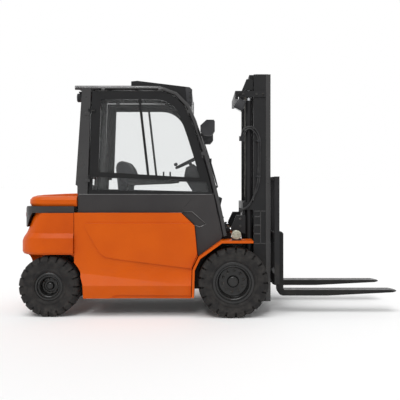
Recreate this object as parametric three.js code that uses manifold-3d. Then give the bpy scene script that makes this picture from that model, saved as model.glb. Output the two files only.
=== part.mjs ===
// Four-wheel electric counterbalance forklift with a cab and a two-stage mast.
// Millimetres. +X points forwards, along the forks, +Y to the truck's left, +Z up.
// Shapes are drawn from the front axle's centre on the floor; the last lines move the whole truck
// so that the origin is the middle of its footprint.
import * as THREE from "three";
import { mergeVertices } from "three/addons/utils/BufferGeometryUtils.js";
import Module from "manifold-3d";

const wasm = await Module();
wasm.setup();

// ---------------------------------------------------------------- driving dimensions
const seat_gap = 0.4; // between faces that touch
const run_gap = 6; // between pieces that move past each other
const side_names = [["right", -1], ["left", 1]];

const wheelbase = 1870;
const front_wheel = { radius: 355, half_width: 145, bead: 190, flange: 212, middle_y: 545 };
const rear_wheel = { radius: 308, half_width: 115, bead: 127, flange: 142, middle_y: 515 };
const kingpin_offset = 150; // from the rear wheel's middle plane in to its kingpin
const kingpin_radius = 15;
const axle_radius = 85;

const rear_overhang = 320; // behind the rear axle
const body_half_width = 640;
const body_bottom = 190;
const body_top = 1057;
const sill_half_width = 650;
const panel_half_width = 600;
const panel_rear_x = -1616;
const battery = { length: 855, width: 1028, height: 784 };
const compartment = { rear_x: -1436, front_x: -420.4, wall: 14, half_width: 579.6, top: 900 };
const floor_z = 690;
const floor_half_width = 396;

const cab_half_width = 550;
const cab_skin = 30; // thickness of cab panels and door
const cab_rear_x = -1586;
const cab_sill_z = 1242;
const pillar_rear_x = -1594;
const rail = { radius: 22.5, height: 2338, rear_x: -1619, bend_x: -800 };
const roof_bend = { radius: 400, turn: 70 }; // from the roof rail down into the front post
const post_bow = { radius: 7800, turn: 9.6 }; // the front post's slight bow
const glass_thickness = 6;

const mast = { rear_x: 225, depth: 177, half_width: 395, bottom: 121, top: 2500, steel: 18 };
const inner_mast = { bottom: 230, top: 2506, steel: 16, depth_gap: 5, web_gap: 7 };
const lift_cylinder = { x: 174, y: 345, radius: 35, bore: 26, rod: 25, bottom: 142, top: 2228 };
const carriage = { rear_x: 422, bar: 50, half_width: 590, low_bar_z: 330, high_bar_z: 745, bar_height: 100 };
const fork = { length: 1200, width: 150, thickness: 60, blade_top: 242, spread: 340, shank_top: 850 };
const backrest_top = 1426;
const tilt_eye = { x: 10, z: 885, y: 440 };
const tilt_pin = { x: -365, z: 800 };
const tilt_cylinder = { radius: 42, bore: 31, rod: 20, eye: 28, pin: 14, eye_width: 40, length: 250 };

// ---------------------------------------------------------------- derived places
const kingpin_y = rear_wheel.middle_y - kingpin_offset;
const rear_x = -wheelbase - rear_overhang;
const fork_rear_x = carriage.rear_x + carriage.bar + 2;
const fork_face_x = fork_rear_x + fork.thickness;
const fork_tip_x = fork_face_x + fork.length;
const blade_bottom = fork.blade_top - fork.thickness;
const mast_front_x = mast.rear_x + mast.depth;

// ---------------------------------------------------------------- materials
function paint(color, roughness, metalness = 0) {
  return new THREE.MeshStandardMaterial({ color, roughness, metalness });
}
const orange = paint(0xd2540f, 0.4);
const charcoal = paint(0x37363a, 0.55);
const black_steel = paint(0x232325, 0.5);
const black_plastic = paint(0x1b1b1d, 0.6);
const tyre_rubber = paint(0x222223, 0.85);
const rim_black = paint(0x2a2a2c, 0.45);
const cast_grey = paint(0x2e2e30, 0.7);
const glass = paint(0x8f979b, 0.1);
const fabric = paint(0x2b2b2e, 0.9);
const chrome = paint(0xb9bcc0, 0.2, 1);
const amber = paint(0xe08a2a, 0.3);
const clear_lens = paint(0xd9d8cf, 0.15);

// ---------------------------------------------------------------- solids
// A closed geometry as a manifold solid.
function solid(geometry) {
  const bare = geometry.index ? geometry.toNonIndexed() : geometry.clone();
  bare.deleteAttribute("normal");
  bare.deleteAttribute("uv");
  const merged = mergeVertices(bare, 1e-3);
  const made = new wasm.Manifold(new wasm.Mesh({
    numProp: 3,
    vertProperties: merged.attributes.position.array,
    triVerts: new Uint32Array(merged.index.array),
  }));
  return made;
}
function geometry_of(made) {
  const mesh = made.getMesh();
  return new THREE.BufferGeometry()
    .setAttribute("position", new THREE.BufferAttribute(new Float32Array(mesh.vertProperties), 3))
    .setIndex(new THREE.BufferAttribute(new Uint32Array(mesh.triVerts), 1));
}
function union(...solids) {
  return solids.reduce((a, b) => a.add(b));
}
function box(x0, x1, y0, y1, z0, z1) {
  return solid(new THREE.BoxGeometry(x1 - x0, Math.abs(y1 - y0), z1 - z0)
    .translate((x0 + x1) / 2, (y0 + y1) / 2, (z0 + z1) / 2));
}
// A cylinder whose axis runs along X, Y or Z from a to b.
function cylinder(axis, radius, a, b, centre, segments = 20) {
  const made = new THREE.CylinderGeometry(radius, radius, Math.abs(b - a), segments);
  if (axis === "x") made.rotateZ(-Math.PI / 2);
  if (axis === "z") made.rotateX(Math.PI / 2);
  const at = { x: 0, y: 0, z: 0, ...centre, [axis]: (a + b) / 2 };
  return solid(made.translate(at.x, at.y, at.z));
}
// A flat outline of [x, z] points made as thick as y0 to y1.
function plate(points, y0, y1) {
  const made = new THREE.ExtrudeGeometry(outline(points), { depth: Math.abs(y1 - y0), bevelEnabled: false });
  return solid(made.rotateX(Math.PI / 2).translate(0, Math.max(y0, y1), 0));
}
// A flat outline of [x, y] points, made as tall as z0 to z1.
function slab(points, z0, z1) {
  const made = new THREE.ExtrudeGeometry(outline(points), { depth: z1 - z0, bevelEnabled: false });
  return solid(made.translate(0, 0, z0));
}
function outline(points) {
  return new THREE.Shape(points.map(([a, b]) => new THREE.Vector2(a, b)));
}
// A solid through level outlines of [x, y] points, each { z, points } with as many points, lowest first.
function loft(levels) {
  const count = levels[0].points.length;
  const places = levels.flatMap(({ z, points }) => points.map(([x, y]) => [x, y, z])).flat();
  const faces = THREE.ShapeUtils.triangulateShape(outline(levels[0].points).getPoints(), []);
  const top = (levels.length - 1) * count;
  const index = faces.flatMap(([a, b, c]) => [a, c, b, top + a, top + b, top + c]);
  for (let level = 0; level < levels.length - 1; level++)
    for (let i = 0; i < count; i++) {
      const [a, b] = [level * count + i, level * count + ((i + 1) % count)];
      index.push(a, b, b + count, a, b + count, a + count);
    }
  const made = new THREE.BufferGeometry();
  made.setAttribute("position", new THREE.BufferAttribute(new Float32Array(places), 3));
  return solid(made.setIndex(index));
}
// Points of an arc about (x, z), in degrees, ends included.
function arc(x, z, radius, from, to, steps) {
  return Array.from({ length: steps + 1 }, (_, i) => {
    const angle = THREE.MathUtils.degToRad(from + ((to - from) * i) / steps);
    return [x + radius * Math.cos(angle), z + radius * Math.sin(angle)];
  });
}
// A [radius, along] profile turned about the Y axis; "along" points to the truck's outside on that side.
// The radii are those of the flats, and one flat faces straight down.
function turned(profile, side, segments = 20) {
  const half_step = Math.PI / segments;
  const points = profile.map(([r, t]) => new THREE.Vector2(r / Math.cos(half_step), t));
  if (profile[0][0] > 0) points.push(points[0].clone());
  const made = new THREE.LatheGeometry(points, segments, half_step);
  const shaped = solid(made);
  const right_way = shaped.volume() < 0 ? solid(flipped(made)) : shaped;
  return side < 0 ? right_way.rotate([180, 0, 0]) : right_way;
}
function flipped(geometry) {
  const made = geometry.clone();
  const index = Array.from(made.index.array);
  for (let i = 0; i < index.length; i += 3) [index[i], index[i + 1]] = [index[i + 1], index[i]];
  made.setIndex(index);
  return made;
}
// A round bar along a line of [x, y, z] points.
function bar(points, radius, sides = 12, smooth = false) {
  const places = points.map((p) => new THREE.Vector3(...p));
  const path = smooth ? new THREE.CatmullRomCurve3(places) : new THREE.CurvePath();
  if (!smooth) places.slice(1).forEach((p, i) => path.add(new THREE.LineCurve3(places[i], p)));
  const steps = smooth ? (points.length - 1) * smooth : points.length - 1;
  const section = new THREE.Shape(new THREE.Path().absarc(0, 0, radius, 0, Math.PI * 2).getPoints(sides / 2));
  return solid(new THREE.ExtrudeGeometry(section, { steps, extrudePath: path, bevelEnabled: false }));
}
function mirrored(made) {
  return made.mirror([0, 1, 0]);
}

// ---------------------------------------------------------------- the cab's side curve
// Roof rail, bend and bowed front post as one line of [x, z] points, moved inwards by inset.
// It starts at the rail's rear end, or at rear_x, and stops at bottom_z.
function side_curve(inset, bottom_z, rear = rail.rear_x, bend_steps = 8, bow_steps = 6) {
  const { radius, turn } = roof_bend;
  const centre_z = rail.height - radius;
  const bend = arc(rail.bend_x, centre_z, radius - inset, 90, 90 - turn, bend_steps);
  const end = THREE.MathUtils.degToRad(90 - turn);
  const bow_x = rail.bend_x + (radius - post_bow.radius) * Math.cos(end);
  const bow_z = centre_z + (radius - post_bow.radius) * Math.sin(end);
  const start = 90 - turn;
  const bow = arc(bow_x, bow_z, post_bow.radius - inset, start, start - post_bow.turn, bow_steps);
  const points = [[rear, rail.height - inset], ...bend, ...bow.slice(1)];
  return cut_below(points, bottom_z);
}
function cut_below(points, z) {
  const kept = points.filter((p) => p[1] > z);
  const below = points[kept.length];
  const above = kept[kept.length - 1];
  if (!below) return kept;
  const share = (above[1] - z) / (above[1] - below[1]);
  return [...kept, [above[0] + share * (below[0] - above[0]), z]];
}
// Where the side curve stands at a height on the front post.
function post_x(inset, z) {
  const line = side_curve(inset, z);
  return line[line.length - 1][0];
}

// ---------------------------------------------------------------- group
const truck = new THREE.Group();
const group_names = ["chassis", "cab", "mast", "wheels"];
const groups = Object.fromEntries(group_names.map((name) => [name, new THREE.Group()]));
group_names.forEach((name) => truck.add(groups[name]));
function add(group, name, made, material) {
  const mesh = new THREE.Mesh(geometry_of(made), material);
  mesh.name = name;
  groups[group].add(mesh);
  return mesh;
}

// ---------------------------------------------------------------- wheels
// Steel rim: outer dish, disc with a centre cap, inner dish. Outline in [radius, along].
function rim_profile(wheel, disc, cap_radius) {
  const edge = wheel.half_width - 9;
  const barrel = wheel.bead;
  const dish = barrel - 16;
  return [
    [0, disc + 34], [cap_radius - 6, disc + 34], [cap_radius, disc + 26], [cap_radius + 3, disc + 6],
    [dish - 26, disc - 4], [dish - 10, disc + 14], [dish, edge], [wheel.flange, edge],
    [wheel.flange, edge - 12], [barrel, edge - 14], [barrel, -edge + 14], [wheel.flange, -edge + 12],
    [wheel.flange, -edge], [dish, -edge], [dish - 8, disc - 44], [dish - 22, disc - 30], [0, disc - 30],
  ];
}
function tyre_profile(wheel) {
  const { radius, half_width, bead, flange } = wheel;
  const seat = half_width - 24;
  const side = (h) => [
    [bead + seat_gap, h * (seat - 1)], [flange + 2, h * (seat + 2)], [flange + 4, h * (half_width - 6)],
    [flange + 24, h * half_width], [radius - 42, h * half_width], [radius - 10, h * (half_width - 12)],
    [radius, h * (half_width - 34)],
  ];
  return [...side(1), ...side(-1).reverse()];
}
const wheels = [
  { place: "front", wheel: front_wheel, x: 0, disc: 18, cap: 62 },
  { place: "rear", wheel: rear_wheel, x: -wheelbase, disc: 22, cap: 40 },
];
for (const { place, wheel, x, disc, cap } of wheels)
  for (const [name, side] of side_names) {
    const tyre = add("wheels", `${place}_tyre_${name}`, turned(tyre_profile(wheel), side), tyre_rubber);
    const rim = add("wheels", `${place}_rim_${name}`, turned(rim_profile(wheel, disc, cap), side), rim_black);
    for (const piece of [tyre, rim]) piece.position.set(x, side * wheel.middle_y, wheel.radius);
  }

// ---------------------------------------------------------------- axles and knuckles
function drive_axle() {
  const hub_y = front_wheel.middle_y + 18 - 30 - seat_gap;
  const z = front_wheel.radius;
  return union(
    cylinder("y", axle_radius, -400, 400, { z }),
    cylinder("y", 74, -hub_y, hub_y, { z }),
    cylinder("y", 100, -170, 170, { z }, 24),
    box(-300, -60, -150, 150, z - 120, z + 130),
  );
}
add("chassis", "drive_axle", drive_axle(), cast_grey);

const yoke = { radius: 29, inside: 92, outside: 122 };
const steer_beam = { depth: 60, half_height: 70, end_y: 250 };
// One end of the steer axle: a fork with an upper and a lower arm, and the kingpin through both.
function steer_fork(x, z) {
  const { depth, end_y } = steer_beam;
  const outline = [
    [x - depth, 200], [x - depth, end_y], [x - yoke.radius, kingpin_y - 5], [x + yoke.radius, kingpin_y - 5],
    [x + depth, end_y], [x + depth, 200],
  ];
  const arms = [z + yoke.inside, z - yoke.outside].map((low) => {
    const high = low + yoke.outside - yoke.inside;
    return slab(outline, low, high).add(cylinder("z", yoke.radius, low, high, { x, y: kingpin_y }));
  });
  const cheek = box(x - depth, x + depth, end_y - 60, end_y, z - yoke.outside, z + yoke.outside);
  const kingpin = cylinder("z", kingpin_radius, z - yoke.outside, z + yoke.outside, { x, y: kingpin_y });
  return union(...arms, cheek, kingpin);
}
function steer_axle() {
  const z = rear_wheel.radius;
  const x = -wheelbase;
  const { depth, half_height, end_y } = steer_beam;
  const beam = box(x - depth, x + depth, -end_y, end_y, z - half_height, z + half_height);
  const mount = box(x - 90, x + 90, -80, 80, z - 60, z + 168);
  const end = steer_fork(x, z);
  return union(beam, mount, end, mirrored(end));
}
add("chassis", "steer_axle", steer_axle(), cast_grey);

// Steering knuckle: a boss on the kingpin, a spindle into the wheel and a tie-rod arm.
function knuckle(side) {
  const z = rear_wheel.radius;
  const x = -wheelbase;
  const tall = yoke.inside - 1;
  const spindle_end = rear_wheel.middle_y + 22 - 30 - seat_gap;
  const body = union(
    cylinder("z", yoke.radius, z - tall, z + tall, { x, y: kingpin_y }),
    cylinder("y", 38, kingpin_y, spindle_end, { x, z }),
    cylinder("y", 58, kingpin_y + 40, kingpin_y + 60, { x, z }),
    box(x + 10, x + 110, kingpin_y - 26, kingpin_y + 4, z - 16, z + 16),
  ).subtract(cylinder("z", kingpin_radius + 0.5, z - 200, z + 200, { x, y: kingpin_y }));
  return side > 0 ? body : mirrored(body);
}
for (const [name, side] of side_names) add("chassis", `steering_knuckle_${name}`, knuckle(side), cast_grey);

// ---------------------------------------------------------------- chassis
// The room a steered rear wheel sweeps about its kingpin.
function steer_room(clearance) {
  const reach = Math.hypot(rear_wheel.radius + clearance, kingpin_offset + rear_wheel.half_width + clearance);
  const ball = new THREE.SphereGeometry(reach, 32, 20).rotateX(Math.PI / 2)
    .translate(-wheelbase, kingpin_y, rear_wheel.radius);
  const kept = solid(ball).intersect(
    box(-3200, 0, 95, 900, -400, 2 * rear_wheel.radius + clearance));
  return kept.add(mirrored(kept));
}
function chassis_frame() {
  const { rear_x: back, front_x: front, wall, half_width: half } = compartment;
  const z = front_wheel.radius;
  const hull = box(back, front, -half, half, body_bottom + 4, compartment.top);
  const inside = box(back + wall, front - wall, -half + wall, half - wall, body_bottom + 20, 1200);
  const members = [-1, 1].map((side) => box(front - 2, 70, side * 290, side * 325, z - 115, floor_z - 10));
  const floor = box(front - 2, -100, -floor_half_width, floor_half_width, floor_z - 12, floor_z);
  const cross = box(-130, -100, -325, 325, z + 115, floor_z - 5);
  const tilt_lugs = [-1, 1].flatMap((side) => [-1, 1].map((edge) => {
    const y = side * tilt_eye.y + edge * (tilt_cylinder.eye_width / 2 + 11);
    return plate([
      [front - 1, floor_z - 5], [front - 1, tilt_pin.z + 36], [tilt_pin.x + 12, tilt_pin.z + 36],
      [tilt_pin.x + 34, tilt_pin.z + 12], [tilt_pin.x + 34, floor_z - 5],
    ], y - 8, y + 8);
  }));
  const pins = [-1, 1].map((side) => cylinder("y", tilt_cylinder.pin, side * (tilt_eye.y - 36),
    side * (tilt_eye.y + 36), { x: tilt_pin.x, z: tilt_pin.z }, 20));
  const mount_top = rear_wheel.radius + 168 + seat_gap;
  const rear_beam = box(-wheelbase - 90, back + 2, -85, 85, mount_top, 640 - seat_gap);
  return union(hull.subtract(inside), ...members, floor, cross, ...tilt_lugs, ...pins, rear_beam)
    .subtract(cylinder("y", axle_radius + seat_gap, -420, 420, { z }))
    .subtract(box(-310, -50, -160, 160, z - 130, z + 140));
}
add("chassis", "chassis_frame", chassis_frame(), black_steel);

function battery_block() {
  const middle = (compartment.rear_x + compartment.front_x) / 2;
  const bottom = body_bottom + 20 + seat_gap;
  return box(middle - battery.length / 2, middle + battery.length / 2, -battery.width / 2, battery.width / 2,
    bottom, bottom + battery.height);
}
add("chassis", "battery", battery_block(), cast_grey);

// ---------------------------------------------------------------- counterweight and rear covers
const arch = { front: 351, top: 640 }; // measured from the rear axle
function rear_plan(half_width, back, corner, front) {
  const rear_right = arc(back + corner, -half_width + corner, corner, 270, 180, 6);
  const rear_left = rear_right.map(([x, y]) => [x, -y]).reverse();
  return [[front, -half_width], ...rear_right, ...rear_left, [front, half_width]].reverse();
}
// Height, side half-width and how far the back is set in, going up.
const counterweight_levels = [
  [634, 626, 8], [656, 640, 0], [762, 640, 0], [801, 637, 14], [848, 606, 42], [905, 606, 68],
  [1010, 606, 110], [1054, 606, 138],
];
function counterweight() {
  const front = panel_rear_x - 4;
  const body = loft(counterweight_levels.map(([z, half, inset]) =>
    ({ z, points: rear_plan(half, rear_x + inset, 250 - inset * 0.4, front) })));
  const tail_plan = rear_plan(body_half_width - 90, rear_x + 24, 190, front + 150);
  const tail = slab(tail_plan, body_bottom, arch.top + 10);
  const beam_room = box(-wheelbase - 100, 0, -kingpin_y - 60, kingpin_y + 60, 0, rear_wheel.radius + 178);
  const arch_cut = [-1, 1].map((side) => plate([
    [-wheelbase - 420, 0], [-wheelbase - 420, arch.top - 8], [-wheelbase + 180, arch.top - 8],
    [-wheelbase + 250, 560], [-wheelbase + 420, 300], [-wheelbase + 420, 0],
  ], side * 380, side * 900));
  const beam_slot = box(-wheelbase - 110, 0, -110, 110, 0, 640);
  return body.add(tail).subtract(union(beam_room, beam_slot, ...arch_cut, steer_room(12)));
}
add("chassis", "counterweight", counterweight(), orange);

// Dark band between the counterweight and the rear hood; it drops down across the back.
const trim_top = 1122;
function rear_trim() {
  const front = panel_rear_x - 4;
  const under = counterweight_levels.slice(-3).map(([z, , inset]) => [rear_x + inset - 1, z]);
  const profile = [
    [rear_x + 36, 920], ...under, [rear_x + 138, body_top - 2], [front, body_top - 2], [front, trim_top],
    [rear_x + 66, trim_top], [rear_x + 36, 1092],
  ];
  return slab(rear_plan(panel_half_width - 14, rear_x + 36, 200, front), 900, trim_top)
    .intersect(plate(profile, -900, 900));
}
add("chassis", "rear_trim", rear_trim(), charcoal);

function rear_hood() {
  const front = pillar_rear_x - seat_gap;
  const levels = [
    [trim_top + seat_gap, 566, 92], [1150, 582, 78], [1188, 582, 80], [1216, 566, 104], [1231, 520, 150],
  ];
  const cap = loft(levels.map(([z, half, inset]) =>
    ({ z, points: rear_plan(half, rear_x + inset, 210 - inset * 0.4, front) })));
  const lid = plate([[rear_x + 190, 1230], [rear_x + 240, 1238], [front, 1250], [front, 1230]], -500, 500);
  return cap.add(lid);
}
add("chassis", "rear_hood", rear_hood(), orange);

// ---------------------------------------------------------------- side panels
const panel_outline = [
  [panel_rear_x, body_top], [-530, body_top], [-392, 925], [-362, 612], [-420, 490], [-428, body_bottom],
  [-1519, body_bottom], [-1522, 330], [-1560, 440], [panel_rear_x, 542],
];
// Raised field on the panel, the corners of its lower edge rounded.
const panel_field = [
  [-1509, 950], [-1500, 900], [-1406, 734], [-1352, 646], [-1300, 610], [-1200, 590], [-428, 492],
  [-368, 640], [-396, 925], [-424, 950],
];
const sill_section = [ // [y, z] down the panel's lower half
  [580, 456], [panel_half_width, 456], [sill_half_width, 322], [sill_half_width - 24, body_bottom],
  [580, body_bottom],
];
function along_x(section, x0, x1) {
  const made = new THREE.ExtrudeGeometry(outline(section), { depth: x1 - x0, bevelEnabled: false });
  return solid(made.rotateY(Math.PI / 2).rotateX(Math.PI / 2).translate(x0, 0, 0));
}
function side_panel(side) {
  const skin = plate(panel_outline, 580, panel_half_width);
  const field = plate(panel_field, panel_half_width - 1, panel_half_width + 12);
  const sill = along_x(sill_section, -1900, 0).intersect(plate(panel_outline, 500, 700));
  const toe = plate([[-1265, 180], [-1194, 229], [-400, 224], [-400, 180]], sill_half_width - 40, 700);
  let made = union(skin, field, sill).subtract(toe);
  if (side > 0) made = made.subtract(box(-780, -470, 588, 700, 400, 560));
  made = made.subtract(steer_room(12));
  return side > 0 ? made : mirrored(made);
}
for (const [name, side] of side_names) add("chassis", `side_panel_${name}`, side_panel(side), orange);

// ---------------------------------------------------------------- front fenders
const fender = { plate: 24, inner_y: 402, outer_y: 690, top: 778, front_x: 200 };
const fender_line = [[fender.front_x, fender.top], [-122, fender.top], [-352, 612], [-412, 486], [-420, 206]];
function fender_piece(side) {
  const t = fender.plate;
  const inner = [[-420 + t, 206], [-412 + t, 482], [-352 + t - 5, 598], [-122 + 7, fender.top - t],
    [fender.front_x, fender.top - t]];
  const made = plate([...fender_line, ...inner], fender.inner_y, fender.outer_y);
  return side > 0 ? made : mirrored(made);
}
for (const [name, side] of side_names) add("chassis", `front_fender_${name}`, fender_piece(side), orange);

// ---------------------------------------------------------------- cab
const tube_y = cab_half_width - rail.radius;
const leaf = { inset: 37, rear_top: -1440, rear_bottom: -1466, bottom: cab_sill_z + 5.5 };
const hinge = {
  x: leaf.rear_bottom - 4, y: cab_half_width + 12, radius: 11, half_height: 30, heights: [1400, 2087],
};
// Roof rail and front post in one bent tube, with the flat rear pillar welded under it.
function guard_side(side) {
  const line = side_curve(0, fender.top + 4).map(([x, z]) => [x, tube_y, z]);
  const pillar = plate([
    [-1545, rail.height - 6], [-1454, rail.height - 6], [-1490, cab_sill_z + seat_gap],
    [pillar_rear_x, cab_sill_z + seat_gap], [pillar_rear_x, 1330], [-1612, 1340],
  ], cab_half_width - 52, cab_half_width - 2);
  const made = bar(line, rail.radius, 12).add(pillar);
  const whole = made.add(hinge_lugs());
  return side > 0 ? whole : mirrored(whole);
}
// The pillar's halves of the door hinges, just under the door's.
function hinge_lugs() {
  return union(...hinge.heights.flatMap((z) => {
    const top = z - seat_gap;
    return [
      cylinder("z", hinge.radius, top - hinge.half_height, top, { x: hinge.x, y: hinge.y }, 16),
      box(hinge.x - 50, hinge.x, cab_half_width - 4, hinge.y + 2, top - hinge.half_height, top),
    ];
  }));
}
for (const [name, side] of side_names) add("cab", `guard_side_${name}`, guard_side(side), charcoal);

// Roof plate that follows the rails and bends down over the windscreen, with cross bars under it
// and a raised box on its front half.
function roof() {
  const half = tube_y - rail.radius - seat_gap;
  const over = side_curve(-14, 2110, rail.rear_x + 12);
  const under = side_curve(-2, 2110, rail.rear_x + 12);
  const sheet = plate([...over, ...under.reverse()], -half, half);
  const bars = [-1560, -1290, -1040, rail.bend_x].map((x) =>
    box(x, x + 44, -half + 9, half - 9, rail.height - 22, rail.height + 4));
  const visor = plate([
    ...side_curve(-12, 2150, -1050), [-424, 2150], [-424, 2332], [-446, 2352], [-985, 2418], [-1050, 2412],
  ], -half + 20, half - 20);
  return union(sheet, ...bars, visor);
}
add("cab", "roof", roof(), charcoal);

function windscreen() {
  const half = tube_y - rail.radius - seat_gap;
  const front = side_curve(-4, cab_sill_z + 2);
  const back = side_curve(-4 + glass_thickness, cab_sill_z + 2);
  const sheet = plate([...front, ...back.reverse()], -half, half);
  return sheet.intersect(box(-520, 200, -600, 600, cab_sill_z, 2108));
}
add("cab", "windscreen", windscreen(), glass);

function rear_window() {
  const half = cab_half_width - 52 - seat_gap;
  const lean = (z) => -1594 + ((z - 1330) / (2310 - 1330)) * 60;
  const frame = plate([
    [lean(1251), 1251], [lean(2300), 2300], [lean(2300) + 30, 2300], [lean(1251) + 30, 1251],
  ], -half, half);
  const hole = box(-1700, -1400, -half + 60, half - 60, 1330, 2225);
  const pane = plate([
    [lean(1320) + 12, 1320], [lean(2235) + 12, 2235], [lean(2235) + 18, 2235], [lean(1320) + 18, 1320],
  ], -half + 50, half - 50);
  return frame.subtract(hole).add(pane);
}
add("cab", "rear_window", rear_window(), glass);

// Dark lower side of the cab, from the pillar to the front post, over the side panel and the fender.
const cowl_y = [cab_half_width - cab_skin, cab_half_width];
const cowl_seam = [[cab_rear_x, body_top + 2], [-528, body_top + 2], [-388, 928], [-358, 619]];
function cowl_front(top) {
  const inset = rail.radius + 4;
  return [
    [-352, 616], [-122, fender.top + 3], [post_x(inset, fender.top + 40), fender.top + 40],
    ...side_curve(inset, fender.top + 40).filter((p) => p[1] < top && p[1] > fender.top + 41).reverse(),
    [post_x(inset, top), top],
  ];
}
// A groove in the cab's side between two [x, z] points.
function seam(from, to) {
  const [width, depth] = [5, 4];
  const length = Math.hypot(to[0] - from[0], to[1] - from[1]);
  const [along_x, along_z] = [(to[0] - from[0]) / length, (to[1] - from[1]) / length];
  const [x, z] = [(-along_z * width) / 2, (along_x * width) / 2];
  return plate([
    [from[0] + x, from[1] + z], [from[0] - x, from[1] - z], [to[0] - x, to[1] - z], [to[0] + x, to[1] + z],
  ], cab_half_width - depth, cab_half_width + 9);
}
// The way in on the left, under the door's window; inset is the gap kept inside its edge.
function footwell(inset) {
  const front = 60 + inset;
  return [
    [-480 + inset, 1300], [-480 + inset, 1050], [-350 + inset, 920], [-330 + inset, 800 + inset],
    [post_x(front, 800 + inset), 800 + inset], [post_x(front, 1262), 1262], [post_x(front, 1262), 1300],
  ];
}
function cowl(side) {
  const shape = [...cowl_seam, ...cowl_front(cab_sill_z), [cab_rear_x, cab_sill_z]];
  const outer = cab_half_width;
  const scoop_outline = [[-521, 1068], [-414, 1068], [-271, 940], [-345, 905], [-396, 925]];
  const scoop = plate(scoop_outline, outer - 14, outer + 9);
  const seams = [seam([-413, 1206], [-542, 1063]), seam([-173, 1134], [-132, 860])];
  const skin = plate(shape, ...cowl_y).subtract(union(scoop, ...seams));
  if (side < 0) return mirrored(skin);
  return skin.subtract(plate(footwell(0), cowl_y[0] - 50, cowl_y[1] + 50));
}
for (const [name, side] of side_names) add("cab", `cowl_${name}`, cowl(side), charcoal);

// Front wall of the cab under the windscreen, the instrument console behind it, and the covers
// over the tilt cylinders on both sides of the footwell.
const wheel_place = { x: -461, z: 1600, tilt: 26, stem: 46 };
// A point on the steering column's top face, across from its middle, square to the wheel's stem.
function column_top(across) {
  const tilt = THREE.MathUtils.degToRad(wheel_place.tilt);
  const down = wheel_place.stem + seat_gap;
  return [
    wheel_place.x + down * Math.sin(tilt) + across * Math.cos(tilt),
    wheel_place.z - down * Math.cos(tilt) + across * Math.sin(tilt),
  ];
}
const tunnel = { inner_y: 378, outer_y: 510, rear_x: -404, front_x: -150, top: 1000, wall: 8 };
function dashboard() {
  const half = tube_y - rail.radius - seat_gap;
  const low = fender.top + 6;
  const inside = (inset) => side_curve(inset, low).filter((p) => p[1] < cab_sill_z);
  const wall = plate([[post_x(-6, cab_sill_z), cab_sill_z], ...inside(-6), ...inside(24).reverse(),
    [post_x(24, cab_sill_z), cab_sill_z]], -half, half);
  const toe_board = box(-130, post_x(24, 800) + 25, -floor_half_width, floor_half_width,
    floor_z + seat_gap, low + 24);
  const console_outline = [[-150, 1000], [-300, 1080], [-330, 1236], [-205, 1236], [-105, 1200]];
  const console_box = plate(console_outline, -400, 400);
  const column = plate([
    [-240, 1230], [-400, 1234], [-505, 1400], [-515, 1440], column_top(-62), column_top(30), [-330, 1500],
    [-240, 1330],
  ], -105, 105);
  const holes = [-1, 1].map((side) => box(-170, 100, side * (tunnel.inner_y + tunnel.wall),
    side * (tunnel.outer_y - 14), low - 10, tunnel.top));
  const covers = [-1, 1].flatMap((side) => {
    const { inner_y, outer_y, rear_x: back, front_x: front, top, wall: thick } = tunnel;
    return [
      box(back, front + 60, side * inner_y, side * (inner_y + thick), floor_z + seat_gap, top + thick),
      box(back, front, side * inner_y, side * outer_y, top, top + thick),
      box(front - 1, front + 60, side * inner_y, side * (outer_y - 14), top, top + thick),
    ];
  });
  return union(wall, toe_board, console_box, column, ...covers).subtract(union(...holes));
}
add("cab", "dashboard", dashboard(), black_plastic);

function steering_wheel() {
  const ring = solid(new THREE.TorusGeometry(160, 13, 6, 24));
  const spokes = [0, 120, 240].map((angle) =>
    solid(new THREE.BoxGeometry(150, 34, 10).translate(82, 0, 0).rotateZ(THREE.MathUtils.degToRad(angle))));
  const hub = cylinder("z", 42, -14, 12, {}, 24);
  const stem = cylinder("z", 18, -wheel_place.stem, -6, {}, 20);
  const knob_place = { x: -150, y: 55 };
  const knob = union(cylinder("z", 8, 0, 34, knob_place, 12), cylinder("z", 22, 26, 58, knob_place, 20));
  return union(ring, ...spokes, hub, stem, knob);
}
const steering = add("cab", "steering_wheel", steering_wheel(), black_plastic);
steering.position.set(wheel_place.x, 0, wheel_place.z);
steering.rotation.y = THREE.MathUtils.degToRad(-wheel_place.tilt);

const seat = {
  width: 480, cushion_rear: -1130, cushion_front: -640, bottom: 1142, top: 1262, back_top: 1619,
};
// Deck over the battery with the seat's pedestal on it.
function battery_hood() {
  const half = tube_y - rail.radius;
  const front = compartment.front_x + 16;
  const deck = box(cab_rear_x, front, -half, half, 1004, 1050);
  const lip = box(front - 30, front, -half, half, compartment.top + seat_gap, 1050);
  const pedestal = box(seat.cushion_rear - 40, seat.cushion_front - 80, -seat.width / 2, seat.width / 2,
    1049, seat.bottom - seat_gap);
  return union(deck, lip, pedestal);
}
add("cab", "battery_hood", battery_hood(), black_plastic);

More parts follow.
